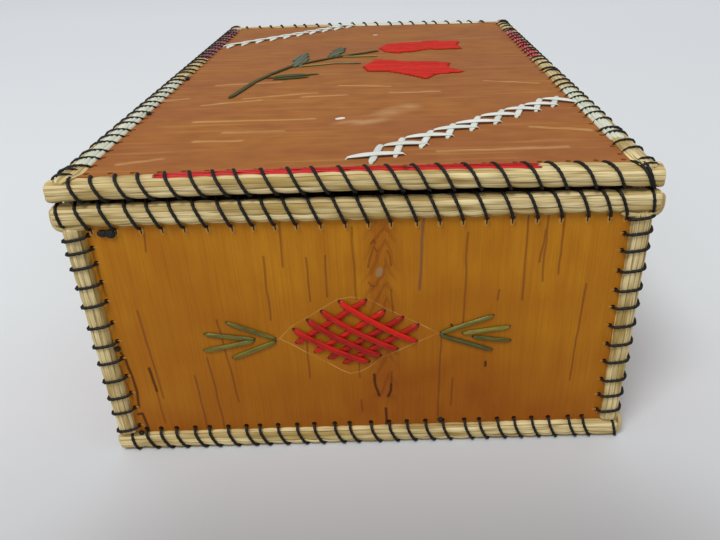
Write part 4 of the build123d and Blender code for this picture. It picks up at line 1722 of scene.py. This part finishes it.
def torn_slit():
    """A slit in the XY plane with its flaps towards Z. Its opening is one face with many sides."""
    deselect()
    bpy.ops.mesh.primitive_circle_add(vertices=12, radius=1)
    piece = bpy.context.object
    piece.name = "torn_slit"
    bpy.ops.object.mode_set(mode="EDIT")
    bpy.ops.mesh.select_all(action="SELECT")
    bpy.ops.transform.resize(value=(slit_half[0], slit_half[1], 1))
    bpy.ops.mesh.extrude_edges_move(TRANSFORM_OT_translate={"value": (0, 0, flap_height)})
    bpy.ops.transform.resize(value=(*crest_share, 1), center_override=(0, 0, 0))
    down = (0, 0, opening_height - flap_height)
    bpy.ops.mesh.extrude_edges_move(TRANSFORM_OT_translate={"value": down})
    inner = [o / c for o, c in zip(opening_share, crest_share)]
    bpy.ops.transform.resize(value=(*inner, 1), center_override=(0, 0, 0))
    close_and_face_outwards()
    return piece


slit_blank = torn_slit()
slit_points = points_of(slit_blank)


# Painted shade: the slit's opening is a flat face painted near black.
torn_tones, opening_shade_tones = ("#D3A052", "#A4661A"), ("#1A0E06", "#2A180A")
dry = {"Specular_IOR_Level": 0.2}
dark = {"Specular_IOR_Level": 0.1}
torn_finish = plain_finish("torn_bark", 0.7, (0.8, 0.8, 0.8), torn_tones, 0.1, **dry)
opening_shade_finish = plain_finish("opening_painted_shade", 0.9, (0.5, 0.5, 0.5), opening_shade_tones, **dark)


def slit_at(face, centre, turn=0.0, size=1.0):
    """A copy of the slit on a face, turned from upright, with one flap higher than the other."""
    origin, right, up, out = face
    piece = copy_of(slit_blank)
    c, s = cos(radians(turn)), sin(radians(turn))
    x, y = slit_points[:, 0] * size, slit_points[:, 1] * size
    sway = flap_sway * draw.uniform(*flap_leans)
    height = slit_points[:, 2] * size * (flap_least + sway * np.sign(slit_points[:, 0]))
    place = (
        origin
        + right * (centre[0] + x * c - y * s)[:, None]
        + up * (centre[1] + x * s + y * c)[:, None]
        + out * (height + slit_lift)[:, None]
    )
    move_points(piece, place)
    return piece


def wall_face(side):
    """The outer face of a wall."""
    low, high = node_box(f"{side}_panel")
    axis = 1 if side in ("front", "back") else 0
    return face_at(side, max(abs(low[axis]), abs(high[axis])), 0.0)


post_slit_inset = 0.5
post_slit_size = 0.52
for side in sides:
    face = wall_face(side)
    hole_height = roll_line("rim", side)[1] - wall_hole
    centres = [place for run in rows["rim", side] for place in run]
    slits = [slit_at(face, (place, hole_height - slit_drop)) for place in centres]
    if side == "front":
        for corner, sign, rise in (("front_left", -1, corner_rise), ("front_right", 1, 0.0)):
            across = sign * (run_out["front"] - wall_hole - post_slit_inset)
            for start in corner_places(corner):
                slits.append(slit_at(face, (across, start + rise), 90, post_slit_size))
    torn = joined(f"torn_slits_{side}", slits, torn_finish)
    two_finishes(torn, torn_finish, opening_shade_finish)
    hand_over(torn, "box", "wall_bark")
bpy.data.objects.remove(slit_blank)

# %% Knots
knot_sizes = (0.74, 0.27)
knot_out = 0.5
lid_knot_in, lid_knot_up = 0.4, 0.6
knot_tilts = ((12, 0), (16, 62), (-22, 118), (26, 32), (-12, 90), (58, 10), (-50, 140))


def knot_blank():
    """Small loops of thread drawn tight: one ring of thread, added at seven angles."""
    loops_here = []
    for tilt_x, tilt_y in knot_tilts:
        deselect()
        bpy.ops.mesh.primitive_torus_add(
            major_segments=14,
            minor_segments=8,
            major_radius=knot_sizes[0],
            minor_radius=knot_sizes[1],
            rotation=(radians(tilt_x), radians(tilt_y), 0),
        )
        bpy.ops.object.transform_apply(location=True, rotation=True, scale=True)
        loops_here.append(bpy.context.object)
    return joined("knot_blank", loops_here, thread_finish)


knot_shape = knot_blank()
knot_points = points_of(knot_shape)


def knot_at(name, place, size, body):
    """A knot at a place in millimetres, sized along, out and up."""
    piece = copy_of(knot_shape, name)
    move_points(piece, knot_points * np.array(size) + np.array(place))
    hand_over(piece, body, "waxed_thread")


front_knot_shares = (
    ("rim_knot_outer", (-0.463, 0.964), (1.6, 0.8, 1.1)),
    ("rim_knot_inner", (-0.449, 0.962), (1.5, 0.8, 1.4)),
    ("base_knot", (0.154, 0.030), (0.9, 0.7, 0.9)),
    ("corner_knot_low", (-0.489, 0.004), (1.0, 0.7, 0.9)),
    ("corner_knot_high", (-0.492, 0.450), (0.95, 0.7, 0.95)),
)
lid_knot_shares = (
    ("lid_knot_near", 0.248, (0.9, 1.4, 0.6)),
    ("lid_knot_far", 0.467, (0.9, 2.4, 0.6)),
)
for name, share, size in front_knot_shares:
    across, up = front_place(share)
    knot_at(name, (across, front_y - knot_out, up), size, "box")
for name, share, size in lid_knot_shares:
    across, back = lid_hole - lid_knot_in - side_line, lid_place((0, share))[1]
    knot_at(name, (across, back, lid_top + lid_knot_up), size, "lid")
bpy.data.objects.remove(knot_shape)

# %% [markdown]
# ## Floor, light and sizes
# The box stands on a pale sheet under soft studio light: an even pale world, and one broad lamp
# overhead that gives the soft shadow at the foot of the walls. The sheet is painted darker towards
# the camera as painted shade, and a soft dark patch in front of the box is a painted shadow.

# %% Floor and light
floor_size = 8
air_strength = 0.7
lamp_place, lamp_aim = (-0.35, -0.7, 1.15), (0, 0, 0.05)
lamp_size, lamp_watts = 0.45, 8

bpy.ops.mesh.primitive_plane_add(size=floor_size)
floor_sheet = bpy.context.object
floor_sheet.name = "studio_floor"
material, tree, surface = new_material("pale_studio_floor", 0.9)
place = millimetres(tree)
back = add(tree, "SeparateXYZ", {0: place}).outputs[1]
# Painted shade: the floor is darker near the camera and lighter far off.
tone = mixed(tree, between(tree, back, -190, -110), "#C3C4C6", "#D9DBDE")
for near, far, colour in ((-110, -30, "#E0E5E7"), (-30, 250, "#E7EAEC"), (250, 900, "#F4F6F9")):
    tone = blend_in(tree, tone, between(tree, back, near, far), colour)
# Painted shadow: a soft dark patch on the floor in front of the box.
shade = stroke(tree, place, (-40, -200), (60, -200), 80, 0.1)
tone = blend_in(tree, tone, shade, "#564C42", 0.38)
finish(tree, surface, tone)
floor_sheet.data.materials.append(material)
floor_sheet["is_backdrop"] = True

world = bpy.data.worlds.new("studio_air")
bpy.context.scene.world = world
world.use_nodes = True
air = world.node_tree.nodes["Background"]
air.inputs["Color"].default_value = linear("#F4F6F8")
air.inputs["Strength"].default_value = air_strength

bpy.ops.object.light_add(type="AREA", location=lamp_place)
lamp = bpy.context.object
lamp.data.shape = "DISK"
lamp.data.size = lamp_size
lamp.data.energy = lamp_watts
lamp.rotation_euler = (Vector(lamp_aim) - lamp.location).to_track_quat("-Z", "Y").to_euler()

bpy.context.scene.view_settings.view_transform = "Standard"

# %% Sizes
low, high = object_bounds()
sizes = {"cad": [list(cad_low), list(cad_high)], "visual": [list(low), list(high)]}
